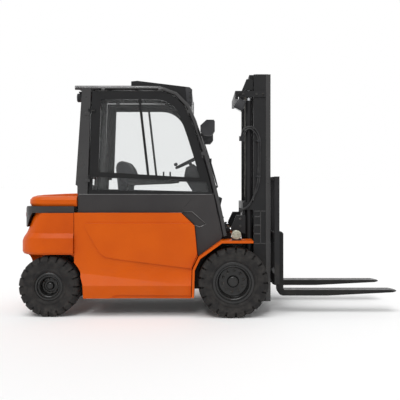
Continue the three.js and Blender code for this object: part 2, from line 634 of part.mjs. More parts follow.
function seat_cushion() {
  return box(seat.cushion_rear, seat.cushion_front, -seat.width / 2, seat.width / 2, seat.bottom, seat.top);
}
add("cab", "seat_cushion", seat_cushion(), fabric);
function seat_backrest() {
  const foot = seat.cushion_rear - seat_gap;
  return plate([
    [foot, seat.bottom], [foot - 95, seat.bottom], [foot - 132, seat.back_top - 79],
    [foot - 110, seat.back_top - 19], [foot - 60, seat.back_top], [foot + 12, seat.back_top - 19],
    [foot + 100, seat.top + 168], [foot + 90, seat.top + 68], [foot, seat.top + 28],
  ], -seat.width / 2, seat.width / 2);
}
add("cab", "seat_backrest", seat_backrest(), fabric);
function armrest() {
  const arm = plate([
    [-1120, 1345], [-1120, 1400], [-1060, 1424], [-640, 1418], [-560, 1385], [-560, 1362], [-640, 1352],
    [-1000, 1338],
  ], -360, -290);
  const post = box(-1100, -1040, -350, -300, 1050 + seat_gap, 1360);
  const levers = [-0.5, 0.5].map((i) => cylinder("z", 9, 1400, 1480, { x: -690 + i * 70, y: -325 }, 12));
  return union(arm, post, ...levers);
}
add("cab", "armrest", armrest(), black_plastic);

// ---------------------------------------------------------------- doors
const opening = { inset: 120, rear_top: -1350, rear_bottom: -1377, low_rear: 1474, low_front: 1412 };
function leaf_outline() {
  return [[leaf.rear_bottom, leaf.bottom], ...side_curve(leaf.inset, leaf.bottom, leaf.rear_top)];
}
function upper_opening(grow = 0) {
  const line = side_curve(opening.inset - grow, opening.low_front - grow, opening.rear_top - grow);
  return [[opening.rear_bottom - grow, opening.low_rear - grow], ...line];
}
function lower_opening(grow = 0) {
  const x = (z) => post_x(leaf.inset + 26 - grow, z);
  return [
    [-1444 - grow, 1290 - grow], [-1438 - grow, 1424 + grow], [x(1378), 1372 + grow], [x(1270), 1262 - grow],
  ];
}
const leaf_y = [cab_half_width - cab_skin - 4, cab_half_width - 2];
const pane_y = [cab_half_width - 22, cab_half_width - 22 + glass_thickness];
function window_frame() {
  const stile = plate([[-972, 2240], [-948, 2240], [-852, 1400], [-876, 1400]], ...leaf_y);
  const openings = [upper_opening(), lower_opening()].map((points) =>
    plate(points, leaf_y[0] - 10, leaf_y[1] + 50));
  return plate(leaf_outline(), ...leaf_y).subtract(union(...openings)).add(stile);
}
function window_pane() {
  const shrink = 11;
  return union(plate(upper_opening(shrink), ...pane_y), plate(lower_opening(9), ...pane_y),
    box(-1000, -980, ...pane_y, 1380, 1500));
}
function window_pane_room() {
  return union(plate(upper_opening(12), pane_y[0] - seat_gap, pane_y[1] + seat_gap),
    plate(lower_opening(10), pane_y[0] - seat_gap, pane_y[1] + seat_gap),
    box(-1001, -979, pane_y[0] - seat_gap, pane_y[1] + seat_gap, 1380, 1500));
}
function door_hinges() {
  return union(...hinge.heights.flatMap((z) => [
    cylinder("z", hinge.radius, z, z + hinge.half_height, { x: hinge.x, y: hinge.y }, 16),
    box(hinge.x, hinge.x + 62, cab_half_width, hinge.y + 2, z, z + hinge.half_height),
    box(hinge.x + 36, hinge.x + 62, cab_half_width - 4, cab_half_width + 1, z, z + hinge.half_height),
  ]));
}
// The right leaf is a window; the left one has a leg that covers the footwell.
function door(side) {
  const leaf_piece = window_frame().add(door_hinges()).subtract(window_pane_room());
  if (side < 0) return mirrored(leaf_piece);
  const leg = plate(footwell(run_gap + 2), ...leaf_y).intersect(
    box(-900, 300, leaf_y[0] - 10, leaf_y[1] + 10, 700, leaf.bottom + 3));
  return leaf_piece.add(leg);
}
for (const [name, side] of side_names) {
  add("cab", `door_${name}`, door(side), black_plastic);
  add("cab", `door_glass_${name}`, side < 0 ? mirrored(window_pane()) : window_pane(), glass);
}

// ---------------------------------------------------------------- lamps
// Work lamp on an arm off the front post.
function headlamp(side) {
  const x = post_x(0, 1900);
  const made = union(
    plate([[x + 32, 1885], [x + 30, 1935], [x + 92, 1992], [x + 168, 1992], [x + 168, 1868], [x + 140, 1838],
      [x + 60, 1838]], 560, 700),
    cylinder("x", 16, x + 26, x + 90, { y: 590, z: 1852 }, 16),
    box(post_x(0, 1880) + 23, x + 60, 520, 600, 1880, 1912),
  );
  return side > 0 ? made : mirrored(made);
}
for (const [name, side] of side_names) add("cab", `headlamp_${name}`, headlamp(side), black_plastic);

// Drum-shaped marker lamp on top of the fender.
function marker_lamp(side) {
  const drum = cylinder("y", 50, 575, 640, { x: 32, z: 832 }, 28);
  const foot = box(-14, 76, 585, 630, fender.top + seat_gap, 800);
  return side > 0 ? drum.add(foot) : mirrored(drum.add(foot));
}
for (const [name, side] of side_names) add("chassis", `marker_lamp_${name}`, marker_lamp(side), clear_lens);

function beacon() {
  const base = cylinder("z", 62, rail.height + 14 + seat_gap, rail.height + 26, { x: -1420 }, 28);
  const dome = cylinder("z", 54, rail.height + 25, rail.height + 62, { x: -1420 }, 28);
  return base.add(dome);
}
add("cab", "beacon", beacon(), amber);

function rear_lamps() {
  const lamps = [-1, 1].map((side) => union(
    cylinder("x", 46, -1618, -1560, { y: side * 400, z: 2252 }, 24),
    box(-1600, -1570, side * 400 - 12, side * 400 + 12, 2250, rail.height - 24)));
  const rod = box(-1604, -1540, -420, 420, rail.height - 34, rail.height - 22 - seat_gap);
  return union(...lamps, rod);
}
add("cab", "rear_lamps", rear_lamps(), black_plastic);

// ---------------------------------------------------------------- mast
// One upright: a channel open towards the middle of the mast.
function channel(x0, x1, y_in, y_out, steel, z0, z1, side) {
  const made = box(x0, x1, y_in, y_out, z0, z1)
    .subtract(box(x0 + steel, x1 - steel, y_in - 10, y_out - steel, z0 - 10, z1 + 10));
  return side > 0 ? made : mirrored(made);
}
const outer_inside_y = mast.half_width - 60;
const beam_plate = 22;
const beam_x = [lift_cylinder.x - lift_cylinder.radius - run_gap - beam_plate - 1, 180];
const beam_inner_y = lift_cylinder.y - lift_cylinder.radius - 10;
const beam_z = { low: [mast.bottom + 9, 300], middle: [1080, 1160] };
function outer_mast() {
  const rails = [-1, 1].map((side) =>
    channel(mast.rear_x, mast_front_x, outer_inside_y, mast.half_width, mast.steel,
      mast.bottom, mast.top, side));
  const cup = lift_cylinder.radius + run_gap;
  const cheek_y = lift_cylinder.y + lift_cylinder.radius + 1;
  const [back, deep] = beam_x;
  const cross = ([z0, z1]) => union(
    box(back, deep, -beam_inner_y, beam_inner_y, z0, z1),
    box(back, back + beam_plate, -mast.half_width, mast.half_width, z0, z1),
    box(back, mast.rear_x + 1, cheek_y, mast.half_width, z0, z1),
    box(back, mast.rear_x + 1, -mast.half_width, -cheek_y, z0, z1));
  const feet = [-1, 1].map((side) => box(beam_x[0], mast.rear_x + 1,
    side * (lift_cylinder.y - cup), side * mast.half_width, mast.bottom, lift_cylinder.bottom - seat_gap));
  const head = union(
    box(30, 62, -mast.half_width - 16, mast.half_width + 16, 2240, 2325),
    box(30, 352, mast.half_width - 1, mast.half_width + 16, 2262, 2325),
    box(30, 352, -mast.half_width - 16, -mast.half_width + 1, 2262, 2325));
  const bearing = [-1, 1].map((side) => mast_foot(side));
  const tilt_brackets = [-1, 1].map((side) => tilt_bracket(side));
  const beams = Object.values(beam_z).map(cross);
  return union(...rails, ...feet, ...beams, head, ...bearing, ...tilt_brackets)
    .subtract(cylinder("y", axle_radius + 1, -300, 300, { z: front_wheel.radius }, 24));
}
// Arm from the upright's foot back to the axle that the mast rocks on.
function mast_foot(side) {
  const z = front_wheel.radius;
  const arm = plate([
    [226, 150], [120, 150], ...arc(0, z, 125, -60, -300, 14), [226, z + 130],
  ], 225, 265);
  const link = box(180, 226, 225, mast.half_width, 150, 300)
    .add(box(200, 226, 225, mast.half_width, 300, 470));
  const room = box(150, mast.rear_x + 1.2, lift_cylinder.y - lift_cylinder.radius - run_gap,
    lift_cylinder.y + lift_cylinder.radius + 1, lift_cylinder.bottom - 1, 600);
  const made = arm.add(link).subtract(room);
  return side > 0 ? made : mirrored(made);
}
// Fork-ended bracket for the tilt cylinder's eye, on a plate that hangs from the middle cross beam.
function tilt_bracket(side) {
  const { x, y, z } = tilt_eye;
  const half = tilt_cylinder.eye_width / 2;
  const front = beam_x[0] + beam_plate;
  const outer_y = y + half + 22;
  const ear = (a, b) => plate([
    [front, 1024], [40, 1024], [x - 24, z + 22], ...arc(x, z, 30, 140, 270, 6), [front, 840],
  ], a, b);
  const ears = ear(mast.half_width - 1, y - half - 4).add(ear(y + half + 4, outer_y));
  const hanger = box(beam_x[0], front, beam_inner_y - 20, outer_y, 840, 1024)
    .add(box(beam_x[0], front, beam_inner_y - 20, mast.half_width, 1020, beam_z.middle[0] + 20));
  const pin = cylinder("y", tilt_cylinder.pin, mast.half_width, outer_y - 2, { x, z }, 20);
  const made = union(ears, hanger, pin);
  return side > 0 ? made : mirrored(made);
}
add("mast", "mast_outer", outer_mast(), black_steel);

const chain = { x: 238, y: 150, z: 2340, radius: 56, width: 28, thick: 14, anchor_z: 1160, foot_z: 640 };
const inner_inset = mast.steel + inner_mast.depth_gap;
const inner_x = [mast.rear_x + inner_inset, mast_front_x - inner_inset];
const inner_out_y = mast.half_width - mast.steel - inner_mast.web_gap;
const inner_in_y = 290;
function inner_mast_piece() {
  const rails = [-1, 1].map((side) =>
    channel(...inner_x, inner_in_y, inner_out_y, inner_mast.steel, inner_mast.bottom, inner_mast.top, side));
  const low = box(inner_x[0], inner_x[0] + inner_mast.steel, -303, 303, 240, 340);
  const high = box(182, inner_x[0] + 2, -329, 329, 2424, inner_mast.top);
  const head = (side) => {
    const made = plate([[102, 2336], [219, 2336], [219, 2440], [200, 2452], [150, 2452]],
      lift_cylinder.y - 38, lift_cylinder.y + 38)
      .add(box(150, 219, 300, lift_cylinder.y - 30, 2400, 2452));
    return side > 0 ? made : mirrored(made);
  };
  const wheel_brackets = [-1, 1].map((side) => union(
    box(206, 264, side * 112, side * 122, 2310, 2426), box(206, 264, side * 178, side * 188, 2310, 2426),
    cylinder("y", 12, side * 112, side * 188, { x: chain.x, z: chain.z }, 16),
    cylinder("y", chain.radius - 0.9, side * (chain.y - 15), side * (chain.y + 15),
      { x: chain.x, z: chain.z }, 28)));
  return union(...rails, low, high, head(-1), head(1), ...wheel_brackets);
}
add("mast", "mast_inner", inner_mast_piece(), black_steel);

for (const [name, side] of side_names) {
  const { x, y, radius, bore, rod, bottom, top } = lift_cylinder;
  const at = { x, y: side * y };
  add("mast", `lift_cylinder_${name}`, cylinder("z", radius, bottom, top, at, 28)
    .subtract(cylinder("z", bore, bottom + 30, top + 10, at, 28)), black_steel);
  add("mast", `lift_rod_${name}`, cylinder("z", rod, bottom + 130, 2336 - seat_gap, at, 28), chrome);
}

// Leaf chain over its wheel, from the outer mast's middle beam to the carriage.
function lift_chain(side) {
  const { x, y, z, radius, thick, width, anchor_z, foot_z } = chain;
  const over = arc(x, z, radius + thick, 0, 180, 12);
  const under = arc(x, z, radius, 180, 0, 12);
  const made = plate([
    [x + radius + thick, foot_z + seat_gap], ...over, [x - radius - thick, anchor_z + seat_gap],
    [x - radius, anchor_z + seat_gap], ...under, [x + radius, foot_z + seat_gap],
  ], y - width / 2, y + width / 2);
  return side > 0 ? made : mirrored(made);
}
for (const [name, side] of side_names) add("mast", `lift_chain_${name}`, lift_chain(side), chrome);

// Carriage: two fork bars, side plates with their roller blocks in the inner mast, and the load backrest.
function fork_carriage() {
  const { rear_x: back, bar: thick, half_width: half, bar_height: tall } = carriage;
  const { low_bar_z: low, high_bar_z: high } = carriage;
  const bars = [low, high].map((z) => box(back, back + thick, -half, half, z, z + tall));
  const cheeks = [-1, 1].map((side) => {
    const made = union(
      plate([[back + 1, 300], [back + 1, 900], [300, 900], [272, 870], [272, 330], [300, 300]], 250, 280),
      box(272, 355, 279, 342, 330, 420), box(272, 355, 279, 342, 760, 850));
    return side > 0 ? made : mirrored(made);
  });
  const anchor = box(272, back + 1, -281, 281, 560, chain.foot_z);
  const ends = [-1, 1].map((side) =>
    box(back, back + thick, side * (half - 32), side * half, low, backrest_top));
  const top_bar = box(back + 6, back + 40, -half, half, backrest_top - 36, backrest_top);
  const slats = [-420, -250, -85, 85, 250, 420].map((y) =>
    box(back + 12, back + 32, y - 9, y + 9, high + tall - 1, backrest_top - 30));
  const middle = box(back + 10, back + 40, -100, 100, low, high + 10);
  return union(...bars, ...cheeks, anchor, ...ends, top_bar, ...slats, middle);
}
add("mast", "fork_carriage", fork_carriage(), black_steel);

// L-shaped fork with a rounded heel, a tapered blade and hooks over the upper bar.
function fork_piece(side) {
  const top = fork.blade_top;
  const taper = fork_face_x + fork.length * 0.38;
  const heel = arc(fork_rear_x + 60, blade_bottom + 60, 60, 180, 270, 6);
  const profile = [
    [fork_rear_x, fork.shank_top], ...heel, [taper, blade_bottom], [fork_tip_x - 60, top - 26],
    [fork_tip_x, top - 20], [fork_tip_x - 8, top - 10], [fork_tip_x - 70, top], [fork_face_x + 14, top],
    [fork_face_x, top + 14], [fork_face_x, fork.shank_top - 16], [fork_face_x - 16, fork.shank_top],
  ];
  const blade = plate(profile, fork.spread - fork.width / 2, fork.spread + fork.width / 2);
  const tip = slab([
    [0, fork.spread - 90], [0, fork.spread + 90], [fork_tip_x - 110, fork.spread + 76],
    ...arc(fork_tip_x - 75, fork.spread, 75, 80, -80, 8), [fork_tip_x - 110, fork.spread - 76],
  ].reverse(), 0, 1000);
  const hook_z = carriage.high_bar_z + carriage.bar_height + seat_gap;
  const hook_y = [fork.spread - 60, fork.spread + 60];
  const hook = box(carriage.rear_x + 8, fork_rear_x + 4, ...hook_y, hook_z, fork.shank_top);
  const made = blade.intersect(tip).add(hook.intersect(box(0, 2000, -1000, 1000, hook_z, fork.shank_top)));
  return side > 0 ? made : mirrored(made);
}
for (const [name, side] of side_names) add("mast", `fork_${name}`, fork_piece(side), black_steel);

// ---------------------------------------------------------------- tilt cylinders
const tilt_reach = Math.hypot(tilt_eye.x - tilt_pin.x, tilt_eye.z - tilt_pin.z);
const tilt_angle = Math.atan2(tilt_eye.z - tilt_pin.z, tilt_eye.x - tilt_pin.x);
for (const [name, side] of side_names) {
  const { radius, bore, rod, eye, pin, eye_width, length } = tilt_cylinder;
  const half = eye_width / 2;
  const barrel = union(
    cylinder("x", radius, 46, length, {}, 28),
    cylinder("y", eye, -half, half, {}, 24),
    box(0, 60, -half, half, -20, 20))
    .subtract(cylinder("y", pin + 0.5, -60, 60, {}, 24))
    .subtract(cylinder("x", bore, 58, length - 16, {}, 28))
    .subtract(cylinder("x", rod + 0.5, 100, length + 10, {}, 28));
  const rod_piece = union(
    cylinder("x", rod, 156, tilt_reach - 20, {}, 28),
    cylinder("y", eye, -half, half, { x: tilt_reach }, 24))
    .subtract(cylinder("y", pin + 3.5, -60, 60, { x: tilt_reach }, 24));
  const pieces = [
    add("mast", `tilt_cylinder_${name}`, barrel, black_steel),
    add("mast", `tilt_rod_${name}`, rod_piece, chrome),
  ];
  for (const piece of pieces) {
    piece.position.set(tilt_pin.x, side * tilt_eye.y, tilt_pin.z);
    piece.rotation.y = -tilt_angle;
  }
}

// Two hoses clipped to the right upright, in one looped run over the lift cylinder.
function mast_hoses() {
  const run = (offset, y) => bar([
    [70 + offset, y, 1060], [96 + offset, y, 1085], [150 + offset * 0.6, y, 1110], [205, y, 1180],
    [262 - offset, y, 1300], [286 - offset, y, 1420], [290 - offset, y, 1700], [286 - offset, y, 1830],
    [240 - offset, y, 1925 - offset], [175, y, 1950 - offset], [112 + offset, y, 1915 - offset],
    [92 + offset, y, 1830],
  ], 8, 6, 2);
  const clip = box(240, 300, -mast.half_width - 22, -mast.half_width - seat_gap, 1800, 1812);
  const low_clip = box(240, 300, -mast.half_width - 22, -mast.half_width - seat_gap, 1418, 1430);
  const block = box(72, 130, -mast.half_width - 22, -mast.half_width - 2, 1800, 1850);
  return union(run(0, -mast.half_width - 14), run(18, -mast.half_width - 14), clip, low_clip, block);
}
add("mast", "mast_hoses", mast_hoses(), black_plastic);

// ---------------------------------------------------------------- place the truck
truck.position.x = -(rear_x + fork_tip_x) / 2;

export default truck;
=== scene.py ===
"""Looks of the four-wheel electric counterbalance forklift: materials, detailed pieces, lights and camera.

Metres. +X points forwards along the forks, +Y to the truck's left, +Z up, and the floor is at 0.
"""
import math

import bmesh
import bpy
from mathutils import Matrix, Vector


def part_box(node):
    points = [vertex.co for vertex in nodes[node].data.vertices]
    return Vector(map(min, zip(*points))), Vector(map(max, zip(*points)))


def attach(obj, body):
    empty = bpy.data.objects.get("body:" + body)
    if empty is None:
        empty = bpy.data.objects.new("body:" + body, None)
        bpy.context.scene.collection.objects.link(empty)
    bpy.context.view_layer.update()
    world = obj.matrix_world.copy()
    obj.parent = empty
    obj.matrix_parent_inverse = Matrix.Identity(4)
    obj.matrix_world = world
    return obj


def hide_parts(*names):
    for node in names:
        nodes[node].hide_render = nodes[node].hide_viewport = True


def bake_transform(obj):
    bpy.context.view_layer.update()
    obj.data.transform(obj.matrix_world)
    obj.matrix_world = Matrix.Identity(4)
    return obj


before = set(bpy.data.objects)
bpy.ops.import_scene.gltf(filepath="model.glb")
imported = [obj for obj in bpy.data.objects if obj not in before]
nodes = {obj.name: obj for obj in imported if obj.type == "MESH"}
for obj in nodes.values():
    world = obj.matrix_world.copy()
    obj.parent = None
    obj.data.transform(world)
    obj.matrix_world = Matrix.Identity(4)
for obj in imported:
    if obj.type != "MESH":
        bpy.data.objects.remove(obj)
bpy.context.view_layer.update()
scene = bpy.context.scene
SIDES = (("right", -1), ("left", 1))
FLOOR_SIZE = 400
FLOOR_DROP = 0.0005  # just under the tyres


# ---------------------------------------------------------------- camera, lights and floor
def make_camera():
    data = bpy.data.cameras.new("camera")
    data.lens = 54.86
    data.sensor_width = 36
    data.shift_x = -0.0125
    data.shift_y = -0.035
    camera = bpy.data.objects.new("camera", data)
    camera.location = (-0.058, -6.79, 1.329)
    camera.rotation_euler = (math.radians(90), 0, 0)
    scene.collection.objects.link(camera)
    scene.camera = camera


def soft_sun(name, aim, spread, strength):
    """A wide, soft lamp so far off that it lights the truck and all of the floor alike."""
    data = bpy.data.lights.new(name, "SUN")
    data.angle = math.radians(spread)
    data.energy = strength
    lamp = bpy.data.objects.new(name, data)
    lamp.rotation_euler = Vector(aim).to_track_quat("-Z", "Y").to_euler()
    scene.collection.objects.link(lamp)


def plain_rays(tree):
    """A value that is 1 for rays that should see plain white: from the camera, off gloss or through glass."""
    path = tree.nodes.new("ShaderNodeLightPath")
    total = path.outputs["Is Camera Ray"]
    for name in ("Is Glossy Ray", "Is Transmission Ray"):
        most = tree.nodes.new("ShaderNodeMath")
        most.operation = "MAXIMUM"
        tree.links.new(total, most.inputs[0])
        tree.links.new(path.outputs[name], most.inputs[1])
        total = most.outputs[0]
    return total


def make_world(strength):
    """White light of a strength on everything, seen as plain white itself."""
    world = bpy.data.worlds.new("studio")
    scene.world = world
    world.use_nodes = True
    tree = world.node_tree
    mix = tree.nodes.new("ShaderNodeMixShader")
    tree.links.new(plain_rays(tree), mix.inputs[0])
    seen = tree.nodes.new("ShaderNodeBackground")
    for socket, background, power in ((1, tree.nodes["Background"], strength), (2, seen, 1)):
        background.inputs["Color"].default_value = (1, 1, 1, 1)
        background.inputs["Strength"].default_value = power
        tree.links.new(background.outputs[0], mix.inputs[socket])
    tree.links.new(mix.outputs[0], tree.nodes["World Output"].inputs["Surface"])


def make_floor(glow):
    """A pale floor that shows the truck's shadow on white."""
    bpy.ops.mesh.primitive_plane_add(size=FLOOR_SIZE, location=(0, 0, -FLOOR_DROP))
    floor = bpy.context.object
    floor.name = "floor"
    paint = bpy.data.materials.new("studio_floor")
    paint.use_nodes = True
    tree = paint.node_tree
    shader = tree.nodes["Principled BSDF"]
    for name, value in (("Base Color", (0.93, 0.93, 0.93, 1)), ("Roughness", 0.9),
                        ("Specular IOR Level", 0.1), ("Emission Color", (1, 1, 1, 1))):
        shader.inputs[name].default_value = value
    lift = tree.nodes.new("ShaderNodeMath")
    lift.operation = "MULTIPLY"
    lift.inputs[1].default_value = glow
    tree.links.new(plain_rays(tree), lift.inputs[0])
    tree.links.new(lift.outputs[0], shader.inputs["Emission Strength"])
    floor.data.materials.append(paint)


make_camera()
make_world(strength=0.48)
make_floor(glow=0.012)
soft_sun("overhead", aim=(0.15, 0.4, -1), spread=40, strength=1.5)
soft_sun("camera_side", aim=(0.12, 0.756, -0.656), spread=12, strength=0.6)
soft_sun("far_side", aim=(-0.3, -1, -0.5), spread=50, strength=0.4)


# ---------------------------------------------------------------- materials
def srgb(red, green, blue):
    """A colour written as it should look, 0 to 255, as the linear one that the shader wants."""
    def linear(value):
        value /= 255
        return value / 12.92 if value <= 0.04045 else ((value + 0.055) / 1.055) ** 2.4
    return (linear(red), linear(green), linear(blue), 1)


class Finish:
    """A procedural material round one Principled shader, with small builders for its detail."""

    def __init__(self, name, metallic=0.0, specular=0.5, coat=0.0, coat_roughness=0.3):
        self.material = bpy.data.materials.new(name)
        self.material.use_nodes = True
        self.nodes = self.material.node_tree.nodes
        self.links = self.material.node_tree.links
        self.shader = self.nodes["Principled BSDF"]
        for socket, value in (("Metallic", metallic), ("Specular IOR Level", specular), ("Coat Weight", coat),
                              ("Coat Roughness", coat_roughness)):
            self.shader.inputs[socket].default_value = value
        self.place = self.nodes.new("ShaderNodeTexCoord").outputs["Object"]

    def node(self, kind, sockets=(), **values):
        """A new node with its settings, and its sockets set to values or linked to outputs."""
        made = self.nodes.new(kind)
        for key, value in values.items():
            setattr(made, key, value)
        for socket, value in dict(sockets).items():
            if isinstance(value, bpy.types.NodeSocket):
                self.links.new(value, made.inputs[socket])
            else:
                made.inputs[socket].default_value = value
        return made

    def noise(self, scale, detail=4.0, stretch=(1, 1, 1)):
        """Noise of so many patches to a metre, drawn out along an axis where stretch is small."""
        place = self.node("ShaderNodeMapping", {"Scale": stretch, "Vector": self.place}).outputs[0]
        sockets = {"Scale": scale, "Detail": detail, "Vector": place}
        return self.node("ShaderNodeTexNoise", sockets).outputs["Fac"]

    def spread(self, value, low, high, to_low=0.0, to_high=1.0):
        """Value from low to high, clamped, as to_low to to_high."""
        return self.node("ShaderNodeMapRange", {"Value": value, "From Min": low, "From Max": high,
                                                "To Min": to_low, "To Max": to_high}).outputs["Result"]

    def multiply(self, a, b):
        return self.node("ShaderNodeMath", {0: a, 1: b}, operation="MULTIPLY").outputs[0]

    def blend(self, share, a, b):
        """Colour a, going over to colour b as share goes to 1. Each is a colour as seen or an output."""
        a, b = (srgb(*colour) if isinstance(colour, tuple) else colour for colour in (a, b))
        return self.node("ShaderNodeMix", {0: share, 6: a, 7: b}, data_type="RGBA").outputs[2]

    def patches(self, scale, detail, low, high, colour, other):
        """One colour with soft patches of the other, where the noise goes from low to high."""
        return self.blend(self.spread(self.noise(scale, detail), low, high), colour, other)

    def dusty(self, colours, dust_colour, top, bottom, scale, low, high, most):
        """Patches of dust over the colours, thicker from the height top down to bottom."""
        height = self.node("ShaderNodeSeparateXYZ", {0: self.place}).outputs["Z"]
        patches = self.spread(self.noise(scale, 8), low, high, 0, most)
        return self.blend(self.multiply(self.spread(height, top, bottom), patches), colours, dust_colour)

    def edges(self, radius=0.004):
        """1 on the outline's sharp edges, broken up by noise."""
        bevel = self.node("ShaderNodeBevel", {"Radius": radius}, samples=4)
        geometry = self.node("ShaderNodeNewGeometry")
        dot = self.node("ShaderNodeVectorMath", {0: bevel.outputs[0], 1: geometry.outputs["True Normal"]},
                        operation="DOT_PRODUCT")
        corner = self.spread(dot.outputs["Value"], 0.98, 0.65)
        return self.multiply(corner, self.spread(self.noise(22, 6), 0.48, 0.66))

    def set_colour(self, colour):
        self.links.new(colour, self.shader.inputs["Base Color"])

    def set_roughness(self, source, low, high):
        self.links.new(self.spread(source, 0.3, 0.7, low, high), self.shader.inputs["Roughness"])

    def bump(self, source, distance, strength=1.0):
        """Adds a relief over those that the shader already has."""
        made = self.node("ShaderNodeBump", {"Strength": strength, "Distance": distance, "Height": source})
        before = self.shader.inputs["Normal"]
        if before.is_linked:
            self.links.new(before.links[0].from_socket, made.inputs["Normal"])
        self.links.new(made.outputs[0], before)


def painted(name, colour, dark, worn, roughness=0.4, coat=0.0, grain=0.0004, dust=0.12, wear=0.45,
            specular=0.22, coat_roughness=0.3):
    """Sprayed paint: faint patches, orange peel, rubbed edges, and dust towards the floor."""
    made = Finish(name, coat=coat, specular=specular, coat_roughness=coat_roughness)
    colours = made.patches(3.1, 5, 0.35, 0.7, colour, dark)
    colours = made.dusty(colours, (150, 138, 122), 0.75, 0.1, 9, 0.38, 0.72, dust)
    made.set_colour(made.blend(made.multiply(made.edges(), wear), colours, worn))
    made.set_roughness(made.noise(14, 4), roughness - 0.06, roughness + 0.1)
    made.bump(made.noise(420, 2), grain, 0.5)
    made.bump(made.noise(5, 3), 0.0005, 0.2)
    return made.material


def cast(name, colour, dark, worn, roughness=0.7, grain=0.0012, dust=0.2):
    """Cast or forged metal under thin paint: coarse skin, dirt in it."""
    made = Finish(name, metallic=0.1, specular=0.25)
    colours = made.patches(24, 8, 0.36, 0.66, colour, dark)
    colours = made.dusty(colours, (120, 108, 94), 0.7, 0.05, 12, 0.4, 0.7, dust)
    made.set_colour(made.blend(made.edges(0.003), colours, worn))
    made.set_roughness(made.noise(30, 4), roughness - 0.1, roughness + 0.1)
    made.bump(made.noise(140, 6), grain, 0.6)
    return made.material


def moulded(name, colour, light):
    """Moulded plastic with a fine pebble grain and scuffed edges."""
    made = Finish(name, specular=0.25)
    colours = made.patches(5, 4, 0.4, 0.7, colour, light)
    made.set_colour(made.blend(made.multiply(made.edges(0.003), 0.5), colours, light))
    made.set_roughness(made.noise(40, 4), 0.47, 0.63)
    cells = made.node("ShaderNodeTexVoronoi", {"Scale": 600, "Vector": made.place})
    made.bump(cells.outputs["Distance"], 0.0003, 0.5)
    return made.material


def rubber(name, colour, light, roughness=0.85):
    """Tyre rubber: greyish patches, dusty tread, fine skin."""
    made = Finish(name, specular=0.2)
    colours = made.patches(18, 8, 0.4, 0.75, colour, light)
    made.set_colour(made.dusty(colours, (108, 104, 99), 0.14, 0.0, 30, 0.4, 0.7, 0.3))
    made.set_roughness(made.noise(26, 4), roughness - 0.1, roughness + 0.08)
    made.bump(made.noise(300, 6), 0.0006, 0.6)
    return made.material


def metal(name, colour, dark, roughness, drawn=(1, 1, 0.04)):
    """Bare steel with fine lines, drawn out along an axis."""
    made = Finish(name, metallic=1.0)
    lines = made.noise(260, 4, drawn)
    made.set_colour(made.patches(20, 6, 0.4, 0.7, colour, dark))
    made.set_roughness(lines, roughness - 0.08, roughness + 0.12)
    made.bump(lines, 0.0001, 0.4)
    return made.material


def tinted_glass(name, tint, share_clear):
    """A clear pane: most light passes, the rest is a glossy skin with faint smears."""
    made = Finish(name, specular=0.6)
    made.shader.inputs["Base Color"].default_value = tint
    made.set_roughness(made.noise(7, 6), 0.02, 0.07)
    made.bump(made.noise(2.4, 2), 0.0002, 0.1)
    clear = made.node("ShaderNodeBsdfTransparent", {"Color": (0.975, 0.98, 0.98, 1)})
    mix = made.node("ShaderNodeMixShader", {0: share_clear, 1: made.shader.outputs[0], 2: clear.outputs[0]})
    made.links.new(mix.outputs[0], made.nodes["Material Output"].inputs["Surface"])
    return made.material


def woven(name, colour, light):
    """Seat cloth: a plain weave with a soft sheen."""
    made = Finish(name, specular=0.2)
    made.shader.inputs["Sheen Weight"].default_value = 0.3
    waves = [made.node("ShaderNodeTexWave", {"Scale": 420, "Distortion": 0.6, "Vector": made.place},
                       wave_type="BANDS", bands_direction=axis).outputs["Fac"] for axis in ("X", "Y")]
    weave = made.multiply(*waves)
    colours = made.blend(made.spread(weave, 0.1, 0.6), colour, light)
    made.set_colour(made.patches(12, 6, 0.45, 0.75, colours, light))
    made.set_roughness(made.noise(60, 4), 0.82, 0.95)
    made.bump(weave, 0.0006, 0.6)
    return made.material


def lens(name, colour, dark, roughness):
    """A moulded lamp lens with fine ribs."""
    made = Finish(name, specular=0.6, coat=0.3)
    ribs = made.node("ShaderNodeTexWave", {"Scale": 60, "Vector": made.place}, wave_type="BANDS",
                     bands_direction="Z")
    made.set_colour(made.patches(40, 4, 0.4, 0.7, colour, dark))
    made.set_roughness(made.noise(30, 3), roughness - 0.05, roughness + 0.08)
    made.bump(ribs.outputs["Fac"], 0.0006, 0.4)
    return made.material


orange = painted("orange_paint", (204, 87, 3), (197, 81, 3), (150, 120, 100), 0.36, specular=0.1,
                 coat=0.1, dust=0.04)
orange_iron = painted("orange_iron", (202, 84, 3), (190, 75, 3), (140, 110, 92), 0.4, grain=0.0009,
                      specular=0.1, coat=0.1, dust=0.04)
charcoal = painted("charcoal_paint", (52, 50, 50), (44, 42, 43), (112, 108, 104), 0.36, coat=0.12)
guard_paint = painted("guard_paint", (43, 42, 42), (36, 35, 36), (112, 108, 104), 0.3, specular=0.35,
                      coat=0.4, coat_roughness=0.14)
black_steel = painted("black_steel_paint", (32, 32, 33), (25, 25, 26), (96, 94, 92), 0.4)
roof_black = painted("roof_paint", (38, 38, 39), (30, 30, 31), (90, 88, 86), 0.4, specular=0.16)
door_black = painted("door_frame_paint", (24, 24, 25), (18, 18, 19), (90, 88, 86), 0.35, dust=0.05)
# Light grey gloss for the cowl scoop's lips: a painted highlight of the scoop's edges on the charcoal cowl.
scoop_highlight_paint = painted("scoop_highlight_paint", (112, 111, 111), (96, 95, 95), (150, 148, 146), 0.25, specular=0.4,
                      coat=0.4, dust=0.02)
rim_paint = painted("rim_paint", (27, 27, 27), (21, 21, 21), (84, 82, 80), 0.3, grain=0.0001,
                    specular=0.3, dust=0.02, coat=0.3, coat_roughness=0.16, wear=0.2)
battery_case = painted("battery_paint", (58, 60, 64), (44, 46, 50), (128, 124, 120), 0.5)
black_plastic = moulded("black_plastic", (36, 36, 38), (58, 58, 60))
grey_plastic = moulded("grey_plastic", (84, 84, 86), (104, 104, 105))
axle_iron = cast("axle_iron", (50, 48, 47), (36, 34, 33), (120, 112, 104))
